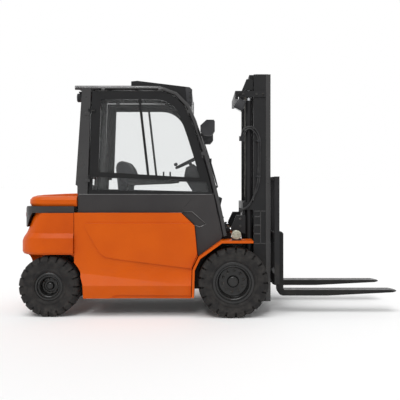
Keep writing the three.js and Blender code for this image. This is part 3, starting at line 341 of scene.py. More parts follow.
fork_steel = cast("fork_steel", (25, 25, 25), (18, 18, 18), (120, 117, 112), 0.5, grain=0.0006, dust=0.05)
bolt_steel = cast("bolt_steel", (66, 65, 64), (44, 43, 42), (150, 148, 144), 0.4, grain=0.0004)
tyre_rubber = rubber("tyre_rubber", (37, 36, 36), (56, 54, 52))
hose_rubber = rubber("hose_rubber", (46, 46, 47), (66, 66, 66), 0.45)
chrome = metal("chrome_rod", (205, 207, 210), (170, 172, 176), 0.16)
chain_steel = metal("chain_steel", (122, 118, 112), (70, 66, 60), 0.4, (1, 1, 1))
mirror_glass = metal("reflector", (214, 216, 218), (190, 192, 194), 0.12, (1, 1, 1))
# Bright metal for the strip along the cowl's upper edge: a painted highlight of that edge.
sill_highlight_metal = metal("sill_highlight_trim", (150, 150, 150), (120, 120, 120), 0.35, (0.05, 1, 1))
window = tinted_glass("window_glass", (0.42, 0.43, 0.43, 1), 0.95)
cream_lens = lens("cream_lens", (172, 170, 152), (138, 136, 120), 0.22)
amber_lens = lens("amber_lens", (226, 112, 30), (204, 92, 20), 0.2)
red_lens = lens("red_lens", (150, 26, 22), (118, 16, 14), 0.2)
clear_lens = lens("clear_lens", (208, 212, 214), (180, 184, 188), 0.1)
seat_cloth = woven("seat_cloth", (52, 52, 56), (78, 78, 82))


# ---------------------------------------------------------------- the CAD pieces
def set_material(piece, material):
    piece.data.materials.clear()
    piece.data.materials.append(material)


def shade_smooth(mesh):
    mesh.polygons.foreach_set("use_smooth", [True] * len(mesh.polygons))


def round_edges(piece, width):
    """Rounds the sharp edges by width metres."""
    rounded = piece.modifiers.new("rounded", "BEVEL")
    rounded.width = width
    rounded.segments = 2
    rounded.limit_method = "ANGLE"
    rounded.angle_limit = math.radians(28)
    rounded.harden_normals = True
    rounded.use_clamp_overlap = True


def soften(piece, width):
    """Rounds a CAD piece's sharp edges and lets the shallow ones shade smoothly."""
    shade_smooth(piece.data)
    for name in ("custom_normal", "sharp_edge"):
        if name in piece.data.attributes:
            piece.data.attributes.remove(piece.data.attributes[name])
    piece.modifiers.new("joined", "WELD").merge_threshold = 0.00002
    round_edges(piece, width)


def both(*names):
    """Each name as the right piece's and the left piece's."""
    return tuple(f"{name}_{side}" for name in names for side, _ in SIDES)


CAD_FINISHES = (
    (orange_iron, 0.008, ("counterweight",)),
    (orange, 0.005, ("rear_hood",) + both("side_panel")),
    (orange, 0.003, both("front_fender")),
    (charcoal, 0.004, ("rear_trim",) + both("cowl")),
    (roof_black, 0.004, ("roof",)),
    (guard_paint, 0.0015, both("guard_side")),
    (black_steel, 0.003, ("chassis_frame", "mast_outer", "mast_inner", "fork_carriage")),
    (black_steel, 0.002, both("lift_cylinder", "tilt_cylinder")),
    (door_black, 0.002, both("door")),
    (fork_steel, 0.004, both("fork")),
    (chrome, 0.002, both("lift_rod", "tilt_rod")),
    (axle_iron, 0.005, ("drive_axle", "steer_axle") + both("steering_knuckle")),
    (battery_case, 0.006, ("battery",)),
    (black_plastic, 0.004, ("dashboard", "battery_hood", "armrest", "rear_lamps") + both("headlamp")),
    (window, 0.0008, ("windscreen",) + both("door_glass")),
)
for finish, width, names in CAD_FINISHES:
    for name in names:
        set_material(nodes[name], finish)
        soften(nodes[name], width)


# ---------------------------------------------------------------- mesh builders
def corners(node):
    """The low and the high corner of a CAD piece's box."""
    return tuple(Vector(corner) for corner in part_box(node))


def across_side(side, *depths):
    """Distances from the middle plane as places along Y on one side, lowest first."""
    return sorted(side * depth for depth in depths)


def circle(count, radius, start=0.0):
    """Places evenly round a circle: (x, y)."""
    return [(radius * math.cos(a), radius * math.sin(a))
            for a in (start + 2 * math.pi * i / count for i in range(count))]


def mirrored(half):
    """A lathe's (radius, along) profile out to its middle, and back again on the far side."""
    return half + [(radius, -along) for radius, along in reversed(half)]


def looking(place, direction, spin=0.0):
    """A turn that puts the origin at place and its Z axis along direction."""
    turn = Vector(direction).to_track_quat("Z", "Y").to_matrix().to_4x4()
    return Matrix.Translation(Vector(place)) @ turn @ Matrix.Rotation(spin, 4, "Z")


def smooth_line(points, steps=8):
    """A Catmull-Rom line through the points."""
    points = [Vector(p) for p in points]
    ends = [2 * points[0] - points[1]] + points + [2 * points[-1] - points[-2]]
    line = []
    for a, b, c, d in zip(ends, ends[1:], ends[2:], ends[3:]):
        for t in (i / steps for i in range(steps)):
            line.append(0.5 * (2 * b + (c - a) * t + (2 * a - 5 * b + 4 * c - d) * t ** 2
                               + (3 * b - a - 3 * c + d) * t ** 3))
    return line + [points[-1]]


def skin(rings, count):
    """The faces between rings of count points each and the next ring, round to the first."""
    return [(r * count + i, r * count + (i + 1) % count, after * count + (i + 1) % count, after * count + i)
            for r, after in zip(range(rings), list(range(1, rings)) + [0]) for i in range(count)]


class Shape:
    """Points and faces gathered from several simple solids, for one piece."""

    def __init__(self):
        self.points, self.faces = [], []

    def take(self, points, faces, turn=None):
        start = len(self.points)
        self.points += [turn @ Vector(p) if turn else Vector(p) for p in points]
        self.faces += [[start + i for i in face] for face in faces]
        return self

    def stacked(self, rings, turn=None):
        """A closed solid through rings of points with as many points each."""
        count = len(rings[0])
        points = [p for ring in rings for p in ring]
        faces = skin(len(rings), count)[:-count]
        faces += [tuple(range(count))[::-1], tuple(range(len(points) - count, len(points)))]
        return self.take(points, faces, turn)

    def closed_loop(self, rings, turn=None):
        """A ring-shaped solid through rings of points, the last joined to the first."""
        return self.take([p for ring in rings for p in ring], skin(len(rings), len(rings[0])), turn)

    def block(self, low, high, turn=None):
        (x0, y0, z0), (x1, y1, z1) = low, high
        return self.stacked([[(x0, y0, z), (x1, y0, z), (x1, y1, z), (x0, y1, z)] for z in (z0, z1)], turn)

    def prism(self, outline, depth, turn=None):
        """A flat outline of (x, z) points, made from depth[0] to depth[1] along Y."""
        return self.stacked([[(x, y, z) for x, z in outline] for y in depth], turn)

    def lathe(self, profile, turn=None, segments=48):
        """(radius, along) points turned about the Z axis. A radius of 0 closes an end."""
        rings, faces, points = [], [], []
        for radius, along in profile:
            places = circle(segments, radius)[:1 if radius == 0 else segments]
            rings.append([len(points) + i for i in range(len(places))])
            points += [(x, y, along) for x, y in places]
        for low, high in zip(rings, rings[1:]):
            for i in range(segments):
                j = (i + 1) % segments
                square = [low[i % len(low)], low[j % len(low)], high[j % len(high)], high[i % len(high)]]
                face = list(dict.fromkeys(square))
                if len(face) > 2:
                    faces.append(face)
        return self.take(points, faces, turn)

    def tube(self, path, radius, sides=12, turn=None):
        """A round bar along a line of points, closed at both ends. Radius is one number or one a point."""
        path = [Vector(p) for p in path]
        radii = radius if isinstance(radius, (list, tuple)) else [radius] * len(path)
        across, rings = None, []
        for i, (place, size) in enumerate(zip(path, radii)):
            tangent = (path[min(i + 1, len(path) - 1)] - path[max(i - 1, 0)]).normalized()
            across = across or tangent.orthogonal().normalized()
            across = (across - tangent * across.dot(tangent)).normalized()
            other = tangent.cross(across)
            rings.append([place + across * x + other * y for x, y in circle(sides, size)])
        return self.stacked(rings, turn)

    def made(self, name, body, material, slot=None, replaces=None, edge=0.0, smooth=True):
        """The piece, riding on a body, with the CAD piece that it stands for hidden. Its slot argument is not
        used.
        """
        mesh = bpy.data.meshes.new(name)
        mesh.from_pydata([tuple(p) for p in self.points], [], self.faces)
        mesh.validate()
        work = bmesh.new()
        work.from_mesh(mesh)
        bmesh.ops.recalc_face_normals(work, faces=work.faces)
        work.to_mesh(mesh)
        work.free()
        piece = bpy.data.objects.new(name, mesh)
        scene.collection.objects.link(piece)
        set_material(piece, material)
        if smooth:
            shade_smooth(mesh)
            mesh.set_sharp_from_angle(angle=math.radians(32))
        if edge:
            round_edges(piece, edge)
        if body:
            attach(piece, body)
        if replaces:
            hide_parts(replaces)
        return piece


# ---------------------------------------------------------------- wheels
NOTCH_SLOPE = 0.003  # how far a notch's wall leans out, along the tread
MIDDLE_BAND = 0.40   # the share of the half width that the notches leave whole


def tread_cut(angle, along, wheel):
    """How deep the tread's notches are at an angle and a place across the tyre, in metres."""
    pitch = 2 * math.pi / wheel["notches"]
    reach = wheel["half_width"] * MIDDLE_BAND
    if abs(along) < reach:
        return 0.0
    offset = 0 if along > 0 else pitch / 2
    off_middle = abs((angle - offset + pitch / 2) % pitch - pitch / 2) * wheel["radius"]
    across = min(1.0, (abs(along) - reach) / 0.012)
    wall = 1 - min(1.0, max(0.0, (off_middle - wheel["notch"] / 2) / NOTCH_SLOPE))
    return wheel["notch_depth"] * wall * across


def tyre_shape(wheel):
    """A solid tyre: tread with side notches and a groove round its middle, ringed sidewalls."""
    radius, half, bead = wheel["radius"], wheel["half_width"], wheel["bead"]
    side = [(bead + r, half - t) for r, t in (
        (0, 0.026), (0.018, 0.016), (0.026, 0.006), (0.034, 0.004), (0.038, 0), (0.05, 0), (0.054, 0.004))]
    side += [(radius - r, half - t) for r, t in (
        (0.07, 0.002), (0.062, 0), (0.046, 0), (0.042, 0.003), (0.028, 0.006), (0.014, 0.012), (0.005, 0.022),
        (0, 0.036))]
    tread = [(radius, 0.62 * half), (radius, 0.48 * half), (radius, MIDDLE_BAND * half + 0.012),
             (radius, MIDDLE_BAND * half), (radius, 0.05 * half + 0.004), (radius - 0.008, 0.05 * half)]
    profile = mirrored(side + tread)
    profile.insert(len(side + tread), (radius - 0.008, 0))
    pitch = 2 * math.pi / wheel["notches"]
    edge, slope = wheel["notch"] / 2 / radius, NOTCH_SLOPE / radius
    stops = sorted({(half_pitch * pitch / 2 + turn) % (2 * math.pi)
                    for half_pitch in range(2 * wheel["notches"])
                    for turn in (-edge - slope, -edge, 0.0, edge, edge + slope, pitch / 4)})
    rings = []
    for angle in stops:
        ring = []
        for r, t in profile:
            near_tread = max(0.0, min(1.0, (r - (radius - 0.050)) / 0.008))
            cut = tread_cut(angle, t, wheel) * near_tread
            reach = r - cut if r > radius - 0.03 else r - cut * 0.35
            depth = math.copysign(1, t) * min(abs(t), half - cut * 0.9) if t else 0.0
            ring.append((reach * math.cos(angle), reach * math.sin(angle), depth))
        rings.append(ring)
    return Shape().closed_loop(rings)


def rim_shape(wheel, turn):
    """Rim with flanges, a lock ring, a dished disc and a hub cap."""
    flange, bead, half, disc, hub = (wheel[k] for k in ("flange", "bead", "half_width", "disc", "hub"))
    edge = half - 0.009
    dish = bead - 0.014
    front = [(hub + 0.012, disc + 0.004), (hub + 0.03, disc)]
    front += [(dish - r, disc + t) for r, t in ((0.044, 0.001), (0.034, 0.004), (0.027, 0.012))]
    front += [(dish + r, edge - t) for r, t in (
        (-0.022, 0.026), (-0.016, 0.014), (-0.010, 0.010), (-0.004, 0.012), (-0.002, 0.016), (0.002, 0.016),
        (0.004, 0.006), (0.008, 0))]
    lip = [(flange - 0.006, edge), (flange, edge - 0.004), (flange, edge - 0.011), (bead, edge - 0.015)]
    back = [(dish + 0.004, -edge), (dish - 0.006, disc - 0.044), (dish - 0.02, disc - 0.03),
            (hub, disc - 0.03), (hub, disc + 0.004), (hub + 0.012, disc + 0.004)]
    shape = Shape().lathe(front + mirrored(lip) + back, turn, segments=72)
    cap = [(hub - r, disc + t) for r, t in (
        (0.001, -0.028), (0.001, 0.018), (0.004, 0.026), (0.012, 0.034), (0.02, 0.036), (0.022, 0.034))]
    return shape.lathe([(0, disc - 0.028)] + cap + [(0, disc + 0.034)], turn)


def add_nut(shape, place, direction, size=0.011, spin=0.0):
    """A nut with its washer and the stud's end."""
    turn = looking(place, direction, spin)
    shape.lathe([(0, 0), (size * 1.35, 0), (size * 1.35, 0.002), (0, 0.002)], turn, 16)
    for low, high, wide, chamfered, sides in ((0.002, 0.012, 1, 0.86, 6), (0.011, 0.020, 0.5, 0.36, 12)):
        shape.lathe([(0, low), (size * wide, low), (size * wide, high - 0.002), (size * chamfered, high),
                     (0, high)], turn, sides)


WHEELS = {
    "front": dict(radius=0.355, half_width=0.145, bead=0.1904, flange=0.212, disc=0.018, hub=0.062,
                  notches=21, notch=0.017, notch_depth=0.024, nuts=10, nut_ring=0.108, nut=0.0125),
    "rear": dict(radius=0.308, half_width=0.115, bead=0.1274, flange=0.142, disc=0.022, hub=0.042,
                 notches=20, notch=0.014, notch_depth=0.020, nuts=8, nut_ring=0.070, nut=0.0095),
}


def make_wheels():
    for place, wheel in WHEELS.items():
        tread = tyre_shape(wheel)
        for name, side in SIDES:
            body = f"{place}_wheel_{name}"
            low, high = corners(f"{place}_tyre_{name}")
            out = looking((low + high) / 2, (0, side, 0))
            tyre = Shape().take(tread.points, tread.faces, out)
            tyre.made(f"tyre_{place}_{name}", body, tyre_rubber, "tyre_rubber", f"{place}_tyre_{name}")
            rim = rim_shape(wheel, out)
            rim.made(f"rim_{place}_{name}", body, rim_paint, "rim_steel", f"{place}_rim_{name}")
            nuts = Shape()
            for x, y in circle(wheel["nuts"], wheel["nut_ring"], 0.2):
                foot = out @ Vector((x, y, wheel["disc"]))
                add_nut(nuts, foot, (0, side, 0), wheel["nut"], math.atan2(y, x))
            nuts.made(f"wheel_nuts_{place}_{name}", body, bolt_steel, "rim_steel")


make_wheels()


# ---------------------------------------------------------------- cab: seat
def cushion(size, crown, bolster, columns=14, rows=12):
    """A closed pad: a crowned top, bolsters along both sides and a flat underside. Local X, Y, up."""
    length, width, thick = size
    shape, row = Shape(), rows + 1
    for top in (False, True):
        for i in range(columns + 1):
            for j in range(rows + 1):
                u, v = 2 * i / columns - 1, 2 * j / rows - 1
                pull = 1 - 0.04 * (u * u) * (v * v)
                side = min(0.75, max(0.0, abs(v) - 0.62) / 0.38)
                rise = crown * (1 - u * u) * (1 - v * v) + bolster * math.sin(math.pi * side)
                shape.points.append(Vector((u * length / 2 * pull, v * width / 2 * pull,
                                            thick - 0.03 + rise if top else 0)))
    level = (columns + 1) * row
    for a in (i * row + j for i in range(columns) for j in range(rows)):
        shape.faces += [(a, a + 1, a + row + 1, a + row),
                        (level + a, level + a + row, level + a + row + 1, level + a + 1)]
    rim = [i * row for i in range(columns + 1)] + [columns * row + j for j in range(1, row)]
    rim += [i * row + rows for i in range(columns - 1, -1, -1)] + list(range(rows - 1, 0, -1))
    shape.faces += [(a, b, level + b, level + a) for a, b in zip(rim, rim[1:] + rim[:1])]
    return shape


def ribbed_pad(outline, half, hollow, edge, ribs=10):
    """A closed pad between side outlines of (x, z) points, its front hollowed between two bolsters and its
    ends drawn in by a share, edge."""
    mid_x, mid_z = Vector([sum(values) for values in zip(*outline)]) / len(outline)
    reach = max(x for x, z in outline) - mid_x
    rings = []
    for v in (2 * i / ribs - 1 for i in range(ribs + 1)):
        draw = 1 - edge * max(0.0, abs(v) - 0.75) / 0.25
        dip = hollow * max(0.0, 1 - (v / 0.62) ** 4)
        rings.append([(mid_x + (x - mid_x) * draw - dip * max(0.0, x - mid_x) / reach, v * half,
                       mid_z + (z - mid_z) * draw) for x, z in outline])
    return Shape().stacked(rings)


def settle(piece):
    """Replaces the piece's mesh with what its modifiers make of it."""
    graph = bpy.context.evaluated_depsgraph_get()
    mesh = bpy.data.meshes.new_from_object(piece.evaluated_get(graph))
    piece.modifiers.clear()
    piece.data = mesh


def inflate(piece, cap, voxel=0.008, pressure=4, frames=12):
    """Swells a pad as filled cloth and keeps each point within cap metres of where it was."""
    even = piece.modifiers.new("even", "REMESH")
    even.mode = "VOXEL"
    even.voxel_size = voxel
    settle(piece)
    before = [v.co.copy() for v in piece.data.vertices]
    cloth = piece.modifiers.new("filled", "CLOTH")
    cloth.settings.use_pressure = True
    cloth.settings.uniform_pressure_force = pressure
    cloth.settings.effector_weights.gravity = 0
    cloth.settings.quality = 5
    for number in range(1, frames + 1):
        scene.frame_set(number)
    settle(piece)
    scene.frame_set(1)
    for vertex, start in zip(piece.data.vertices, before):
        move = vertex.co - start
        if move.length > cap:
            vertex.co = start + move.normalized() * cap
    shade_smooth(piece.data)


def sew_channels(piece, lines, depth=0.005, width=0.006):
    """Presses narrow sewn channels into the top at places along X."""
    for vertex in piece.data.vertices:
        if vertex.normal.z >= 0.35:
            near = min(abs(vertex.co.x - line) for line in lines)
            vertex.co.z -= depth * math.exp(-(near / width) ** 2)


def place_pad(piece, turn, node):
    piece.data.transform(turn)
    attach(piece, "chassis")
    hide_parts(node)


def make_seat():
    low, high = corners("seat_cushion")
    size = high - low
    pad = cushion((size.x - 0.03, size.y - 0.03, size.z - 0.012), crown=0.012, bolster=0.022)
    pad = pad.made("seat_pad", None, seat_cloth)
    inflate(pad, cap=0.010)
    sew_channels(pad, (-0.14, -0.05, 0.04, 0.13))
    place_pad(pad, Matrix.Translation(((low.x + high.x) / 2, 0, low.z + 0.002)), "seat_cushion")
    low, high = corners("seat_backrest")
    outline = [(low.x + dx, high.z - dz) for dx, dz in (
        (0.118, 0.462), (0.052, 0.462), (0.014, 0.085), (0.020, 0.042), (0.044, 0.018), (0.076, 0.012),
        (0.118, 0.018), (0.148, 0.036), (0.184, 0.094), (0.216, 0.176), (0.214, 0.236), (0.200, 0.272),
        (0.160, 0.294), (0.120, 0.316))]
    back = ribbed_pad(outline, (high.y - low.y) / 2 - 0.014, 0.055, 0.14)
    back = back.made("seat_back_pad", None, seat_cloth)
    inflate(back, cap=0.008)
    lying = Matrix.Rotation(math.radians(90), 4, "Y")
    back.data.transform(lying)
    sew_channels(back, [-(low.z + z) for z in (0.16, 0.25, 0.34)])
    place_pad(back, lying.inverted(), "seat_backrest")


# ---------------------------------------------------------------- cab: steering wheel
def make_steering_wheel(radius=0.16, flutes=24, around=14, tilt=26):
    """A thick rim with a grip's flutes under it, three spokes, a hub cap and a spinner knob."""
    turn = Matrix.Translation((-0.233, 0, 1.6)) @ Matrix.Rotation(-math.radians(tilt), 4, "Y")
    rings, count = [], 4 * flutes
    for a in (2 * math.pi * i / count for i in range(count)):
        rings.append([])
        for b in (2 * math.pi * k / around for k in range(around)):
            grip = 0.0125 + 0.0006 * math.cos(flutes * a) * (1 if math.sin(b) < 0 else 0)
            out = radius + grip * math.cos(b)
            rings[-1].append((out * math.cos(a), out * math.sin(a), grip * math.sin(b)))
    wheel = Shape().closed_loop(rings, turn)
    for angle in (0, 120, 240):
        spoke = turn @ Matrix.Rotation(math.radians(angle), 4, "Z")
        route = ((0.03, 0, -0.006), (0.07, 0, -0.008), (0.12, 0, -0.004), (0.155, 0, 0))
        wheel.tube([spoke @ Vector(p) for p in route], [0.014, 0.011, 0.009, 0.008])
    wheel.lathe([(0, -0.046), (0.018, -0.046), (0.018, -0.016), (0.036, -0.014), (0.042, -0.008),
                 (0.042, 0.004), (0.036, 0.011), (0.02, 0.013), (0, 0.0135)], turn, 40)
    wheel.made("steering_wheel_rim", "steering_wheel", black_plastic, replaces="steering_wheel")
    knob = Shape().lathe([(0, 0.002), (0.008, 0.002), (0.008, 0.024), (0.018, 0.028), (0.022, 0.038),
                          (0.021, 0.05), (0.014, 0.057), (0, 0.058)],
                         turn @ Matrix.Translation((-0.15, 0.055, 0)), 28)
    knob.made("spinner_knob", "steering_wheel", grey_plastic)


# ---------------------------------------------------------------- cab: rear window
CAB_SIDE = 0.55
PILLAR_FOOT, PILLAR_TOP = Vector((-1.366, 0, 1.33)), Vector((-1.306, 0, 2.31))


def rear_wall_x(z):
    """Where the cab's leaning rear wall stands at a height."""
    share = (z - PILLAR_FOOT.z) / (PILLAR_TOP.z - PILLAR_FOOT.z)
    return PILLAR_FOOT.x + share * (PILLAR_TOP.x - PILLAR_FOOT.x)


def wall_points(half, bottom, top, x):
    """A rectangle's corners in the leaning rear wall, x metres in front of its face."""
    rectangle = ((-half, bottom), (half, bottom), (half, top), (-half, top))
    return [(rear_wall_x(z) + x, y, z) for y, z in rectangle]


def wall_frame(outer, inner, x0, x1):
    """A frame in the rear wall between two rectangles of (half width, bottom, top), from x0 to x1."""
    points = [p for x in (x0, x1) for rectangle in (outer, inner) for p in wall_points(*rectangle, x)]
    faces = []
    for i, j in ((0, 1), (1, 2), (2, 3), (3, 0)):
        faces += [(i, j, 4 + j, 4 + i), (8 + i, 12 + i, 12 + j, 8 + j), (i, 8 + i, 8 + j, j),
                  (4 + i, 4 + j, 12 + j, 12 + i)]
    return Shape().take(points, faces)


def make_rear_window():
    wall = wall_frame((0.4975, 1.252, 2.299), (0.438, 1.33, 2.225), 0.001, 0.029)
    wall.made("rear_wall", "chassis", charcoal, "charcoal_panel", "rear_window", edge=0.004)
    seal = wall_frame((0.448, 1.321, 2.234), (0.430, 1.339, 2.217), -0.002, 0.004)
    seal.made("rear_window_seal", "chassis", hose_rubber, "black_plastic", edge=0.002)
    pane = Shape().stacked([wall_points(0.437, 1.332, 2.223, x) for x in (0.012, 0.018)])
    pane.made("rear_window_pane", "chassis", window, "window_glass", smooth=False)


make_seat()
make_steering_wheel()
make_rear_window()


# ---------------------------------------------------------------- lamps
def rounded_rectangle(width, height, corner, steps=5):
    """An outline of (x, y) points round the origin."""
    points = []
    for sx, sy, start in ((1, 1, 0), (-1, 1, 90), (-1, -1, 180), (1, -1, 270)):
        for a in (math.radians(start + 90 * i / steps) for i in range(steps + 1)):
            points.append((sx * (width / 2 - corner) + corner * math.cos(a),
                           sy * (height / 2 - corner) + corner * math.sin(a)))
    return points


def rounded_stack(width, height, corner, levels, turn, shape=None):
    """A solid through levels of (share of the outline, height) points."""
    outline = rounded_rectangle(width, height, corner)
    return (shape or Shape()).stacked([[(x * k, y * k, z) for x, y in outline] for k, z in levels], turn)


def lamp_face(name, place, direction, size, body, corner=0.02):
    """A work lamp's front: bezel, bright reflector dish and ribbed lens, facing along direction."""
    turn = looking(place, direction)
    for part, share, material, slot, levels in (
        ("bezel", 1, black_plastic, "black_plastic",
         ((1, -0.002), (1, 0.004), (0.97, 0.007), (0.9, 0.007), (0.88, 0.003))),
        ("reflector", 0.86, mirror_glass, "chrome_steel",
         ((1, 0.0034), (0.99, 0.0052), (0.6, 0.0040), (0.2, 0.0036))),
        ("lens", 0.87, clear_lens, "lens", ((1, 0.0062), (0.99, 0.0078), (0.9, 0.0086), (0.5, 0.0092))),
    ):
        rounding = corner if share == 1 else corner * 0.8
        shape = rounded_stack(size[0] * share, size[1] * share, rounding, levels, turn)
        shape.made(f"{name}_{part}", body, material, slot)


def make_marker_lamp(name):
    """The fender's marker lamp: a cream drum with raised rings on both faces, on a small foot."""
    low, high = corners(f"marker_lamp_{name}")
    radius, half = (high.x - low.x) / 2, (high.y - low.y) / 2
    centre = Vector(((low.x + high.x) / 2, (low.y + high.y) / 2, high.z - radius))
    profile = mirrored([(radius * share, inset - half) for share, inset in (
        (0, 0.004), (0.3, 0.004), (0.34, 0), (0.42, 0), (0.46, 0.005), (0.62, 0.006), (0.66, 0.002),
        (0.76, 0.002), (0.8, 0.008), (0.94, 0.012), (1, 0.02))])
    drum = Shape().lathe(profile, looking(centre, (0, 1, 0)), 56)
    drum.made(f"marker_drum_{name}", "chassis", cream_lens, "lens", f"marker_lamp_{name}")
    x0, y0, z = low
    x1, y1 = high.x, high.y
    foot = Shape().block((x0 + 0.004, y0 + 0.01, z), (x1 - 0.004, y1 - 0.01, z + 0.022))
    foot.block((centre.x - 0.03, y0 + 0.014, z + 0.01), (centre.x + 0.03, y1 - 0.014, z + 0.03))
    for x in (x0 + 0.014, x1 - 0.014):
        add_nut(foot, (x, centre.y, z + 0.022), (0, 0, 1), 0.006)
    foot.made(f"marker_foot_{name}", "chassis", black_plastic, "black_plastic", edge=0.002)


def make_beacon(segments=72):
    """The roof's flashing beacon: a base and a fluted amber dome."""
    low, high = corners("beacon")
    radius, tall = (high.x - low.x) / 2, high.z - low.z
    at = Matrix.Translation(((low.x + high.x) / 2, (low.y + high.y) / 2, low.z))
    base = Shape().lathe([(0, 0), (radius, 0), (radius, tall * 0.12), (radius * 0.95, tall * 0.2),
                          (radius * 0.88, tall * 0.25), (0, tall * 0.25)], at)
    base.made("beacon_base", "chassis", black_plastic, "black_plastic")
    rings = []
    for share, up in ((0.86, 0.25), (0.86, 0.55), (0.83, 0.72), (0.74, 0.86), (0.58, 0.95), (0.34, 0.99),
                      (0.05, 1.0)):
        smooth, fluted = (circle(segments, radius * k) for k in (share, share - (0.012 if up < 0.8 else 0)))
        rings.append([(*(smooth if i % 3 else fluted)[i], tall * up) for i in range(segments)])
    Shape().stacked(rings, at).made("beacon_dome", "chassis", amber_lens, "amber_lens", "beacon")


def make_lamps():
    lamp_bar, trim = corners("rear_lamps")[0], corners("rear_trim")[0]
    for name, side in SIDES:
        make_marker_lamp(name)
        high = corners(f"headlamp_{name}")[1]
        face = (high.x, side * 0.63, high.z - 0.062)
        lamp_face(f"headlamp_{name}", face, (1, 0, 0), (0.126, 0.11), "chassis")
        lamp = Shape().lathe([(0, 0.001), (0.043, 0.001), (0.041, 0.005), (0.030, 0.008), (0.012, 0.0095),
                              (0, 0.0098)], looking((lamp_bar.x, side * 0.4, lamp_bar.z + 0.046), (-1, 0, 0)))
        lamp.made(f"rear_work_lens_{name}", "chassis", clear_lens, "lens")
        turn = looking((trim.x, side * 0.33, 1.03), (-1, 0, 0), math.radians(90))
        tail = rounded_stack(0.05, 0.12, 0.012, ((1, -0.002), (1, 0.008), (0.94, 0.012)), turn)
        tail.made(f"tail_lamp_{name}", "chassis", red_lens, "amber_lens")
    make_beacon()


make_lamps()


# ---------------------------------------------------------------- mast: chains
CHAIN_PITCH = 0.032


def add_link(shape, turn, plates, thick):
    """One leaf-chain link: plates with rounded ends side by side over one pitch, and the pin at its end."""
    half, rounding = CHAIN_PITCH / 2, CHAIN_PITCH * 0.34
    outline = [(half * s + rounding * math.cos(a), rounding * math.sin(a))
               for s, start in ((1, -90), (-1, 90)) for a in (math.radians(start + 45 * i) for i in range(5))]
    for offset in plates:
        shape.prism(outline, (offset - thick / 2, offset + thick / 2), turn)
    reach = plates[-1] + thick
    shape.prism([(half + x, z) for x, z in circle(8, rounding * 0.4)], (-reach, reach), turn)


def chain_run(name, line, width):
    """Leaf chain along a line of points in a plane square to Y."""
    shape, thick = Shape(), width / 6.2
    places, travelled, step = [], 0.0, 0.0
    for a, b in zip(line, line[1:]):
        length = (b - a).length
        while step <= travelled + length:
            places.append((a + (b - a) * ((step - travelled) / length), (b - a).normalized()))
            step += CHAIN_PITCH
        travelled += length
    across = Vector((0, 1, 0))
    for number, (place, along) in enumerate(places[:-1]):
        axes = Matrix((along, across, along.cross(across))).transposed().to_4x4()
        plates = [thick * k for k in ((-2, 0, 2) if number % 2 else (-1, 1))]
        add_link(shape, Matrix.Translation(place + along * CHAIN_PITCH / 2) @ axes, plates, thick * 0.8)
    return shape.made(name, None, chain_steel, "chrome_steel")


def make_chains(foot=1.178, margin=0.007):
    """Each lift chain in two runs: up from the carriage over the wheel, and down to the outer mast."""
    for name, side in SIDES:
        low, high = corners(f"lift_chain_{name}")
        y, width = (low.y + high.y) / 2, high.y - low.y
        radius = (high.x - low.x) / 2 - margin
        centre = Vector(((low.x + high.x) / 2, y, high.z - radius - margin))
        front = [Vector((centre.x + radius, y, z)) for z in (low.z + 0.012, centre.z)]
        over = [centre + Vector((x, 0, z)) for x, z in circle(28, radius)[:15]]
        back = [Vector((centre.x - radius, y, z)) for z in (centre.z - 0.03, foot)]
        first = chain_run(f"chain_front_{name}", front + over[1:8], width)
        second = chain_run(f"chain_rear_{name}", over[8:] + back, width)
        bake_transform(first)
        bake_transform(second)
        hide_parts(f"lift_chain_{name}")


# ---------------------------------------------------------------- mast: hoses
AXLE_X = 0.228
HOSE_Y = -0.4095
HOSE_RADIUS = 0.0085
CLIP_FACE = -0.4205


def hose_line(gap):
    """One hose on the right upright, from its low fitting up over the clamp, set in by gap from the outer."""
    places = ((0.070 + gap, 1.060), (0.096 + gap, 1.085), (0.150 + gap * 0.6, 1.110), (0.205, 1.180),
              (0.262 - gap, 1.300), (0.286 - gap, 1.420), (0.290 - gap, 1.700), (0.286 - gap, 1.830),
              (0.240 - gap, 1.925 - gap), (0.175, 1.950 - gap), (0.112 + gap, 1.915 - gap),
              (0.092 + gap, 1.830))
    return smooth_line([(x + AXLE_X, HOSE_Y, z) for x, z in places], 7)


def make_hoses():
    hoses, fittings, clips = Shape(), Shape(), Shape()
    for line in (hose_line(0.0), hose_line(0.018)):
        hoses.tube(line, HOSE_RADIUS)
        for start, after in ((line[0], line[1]), (line[-1], line[-2])):
            fittings.lathe([(0, -0.002), (0.0095, -0.002), (0.0095, 0.010), (0.0088, 0.012), (0.0088, 0.030),
                            (0, 0.030)], looking(start, after - start), 6)
    hoses.made("mast_hose_pair", "mast", hose_rubber, "black_plastic", "mast_hoses")
    fittings.made("hose_fittings", "mast", bolt_steel, "chrome_steel")
    for x0, x1, bolt_x, z0, z1, depth, bolt in (
        (0.471, 0.527, 0.479, 1.422, 1.438, 0.025, 0.006), (0.471, 0.527, 0.479, 1.792, 1.808, 0.025, 0.006),
        (0.300, 0.358, 0.329, 1.80, 1.85, 0.023, 0.007),
    ):
        clips.block((x0, CLIP_FACE, z0), (x1, CLIP_FACE + depth, z1))
        add_nut(clips, (bolt_x, CLIP_FACE, (z0 + z1) / 2), (0, -1, 0), bolt)
    clips.made("hose_clips", "mast", black_plastic, "black_plastic", edge=0.0015)


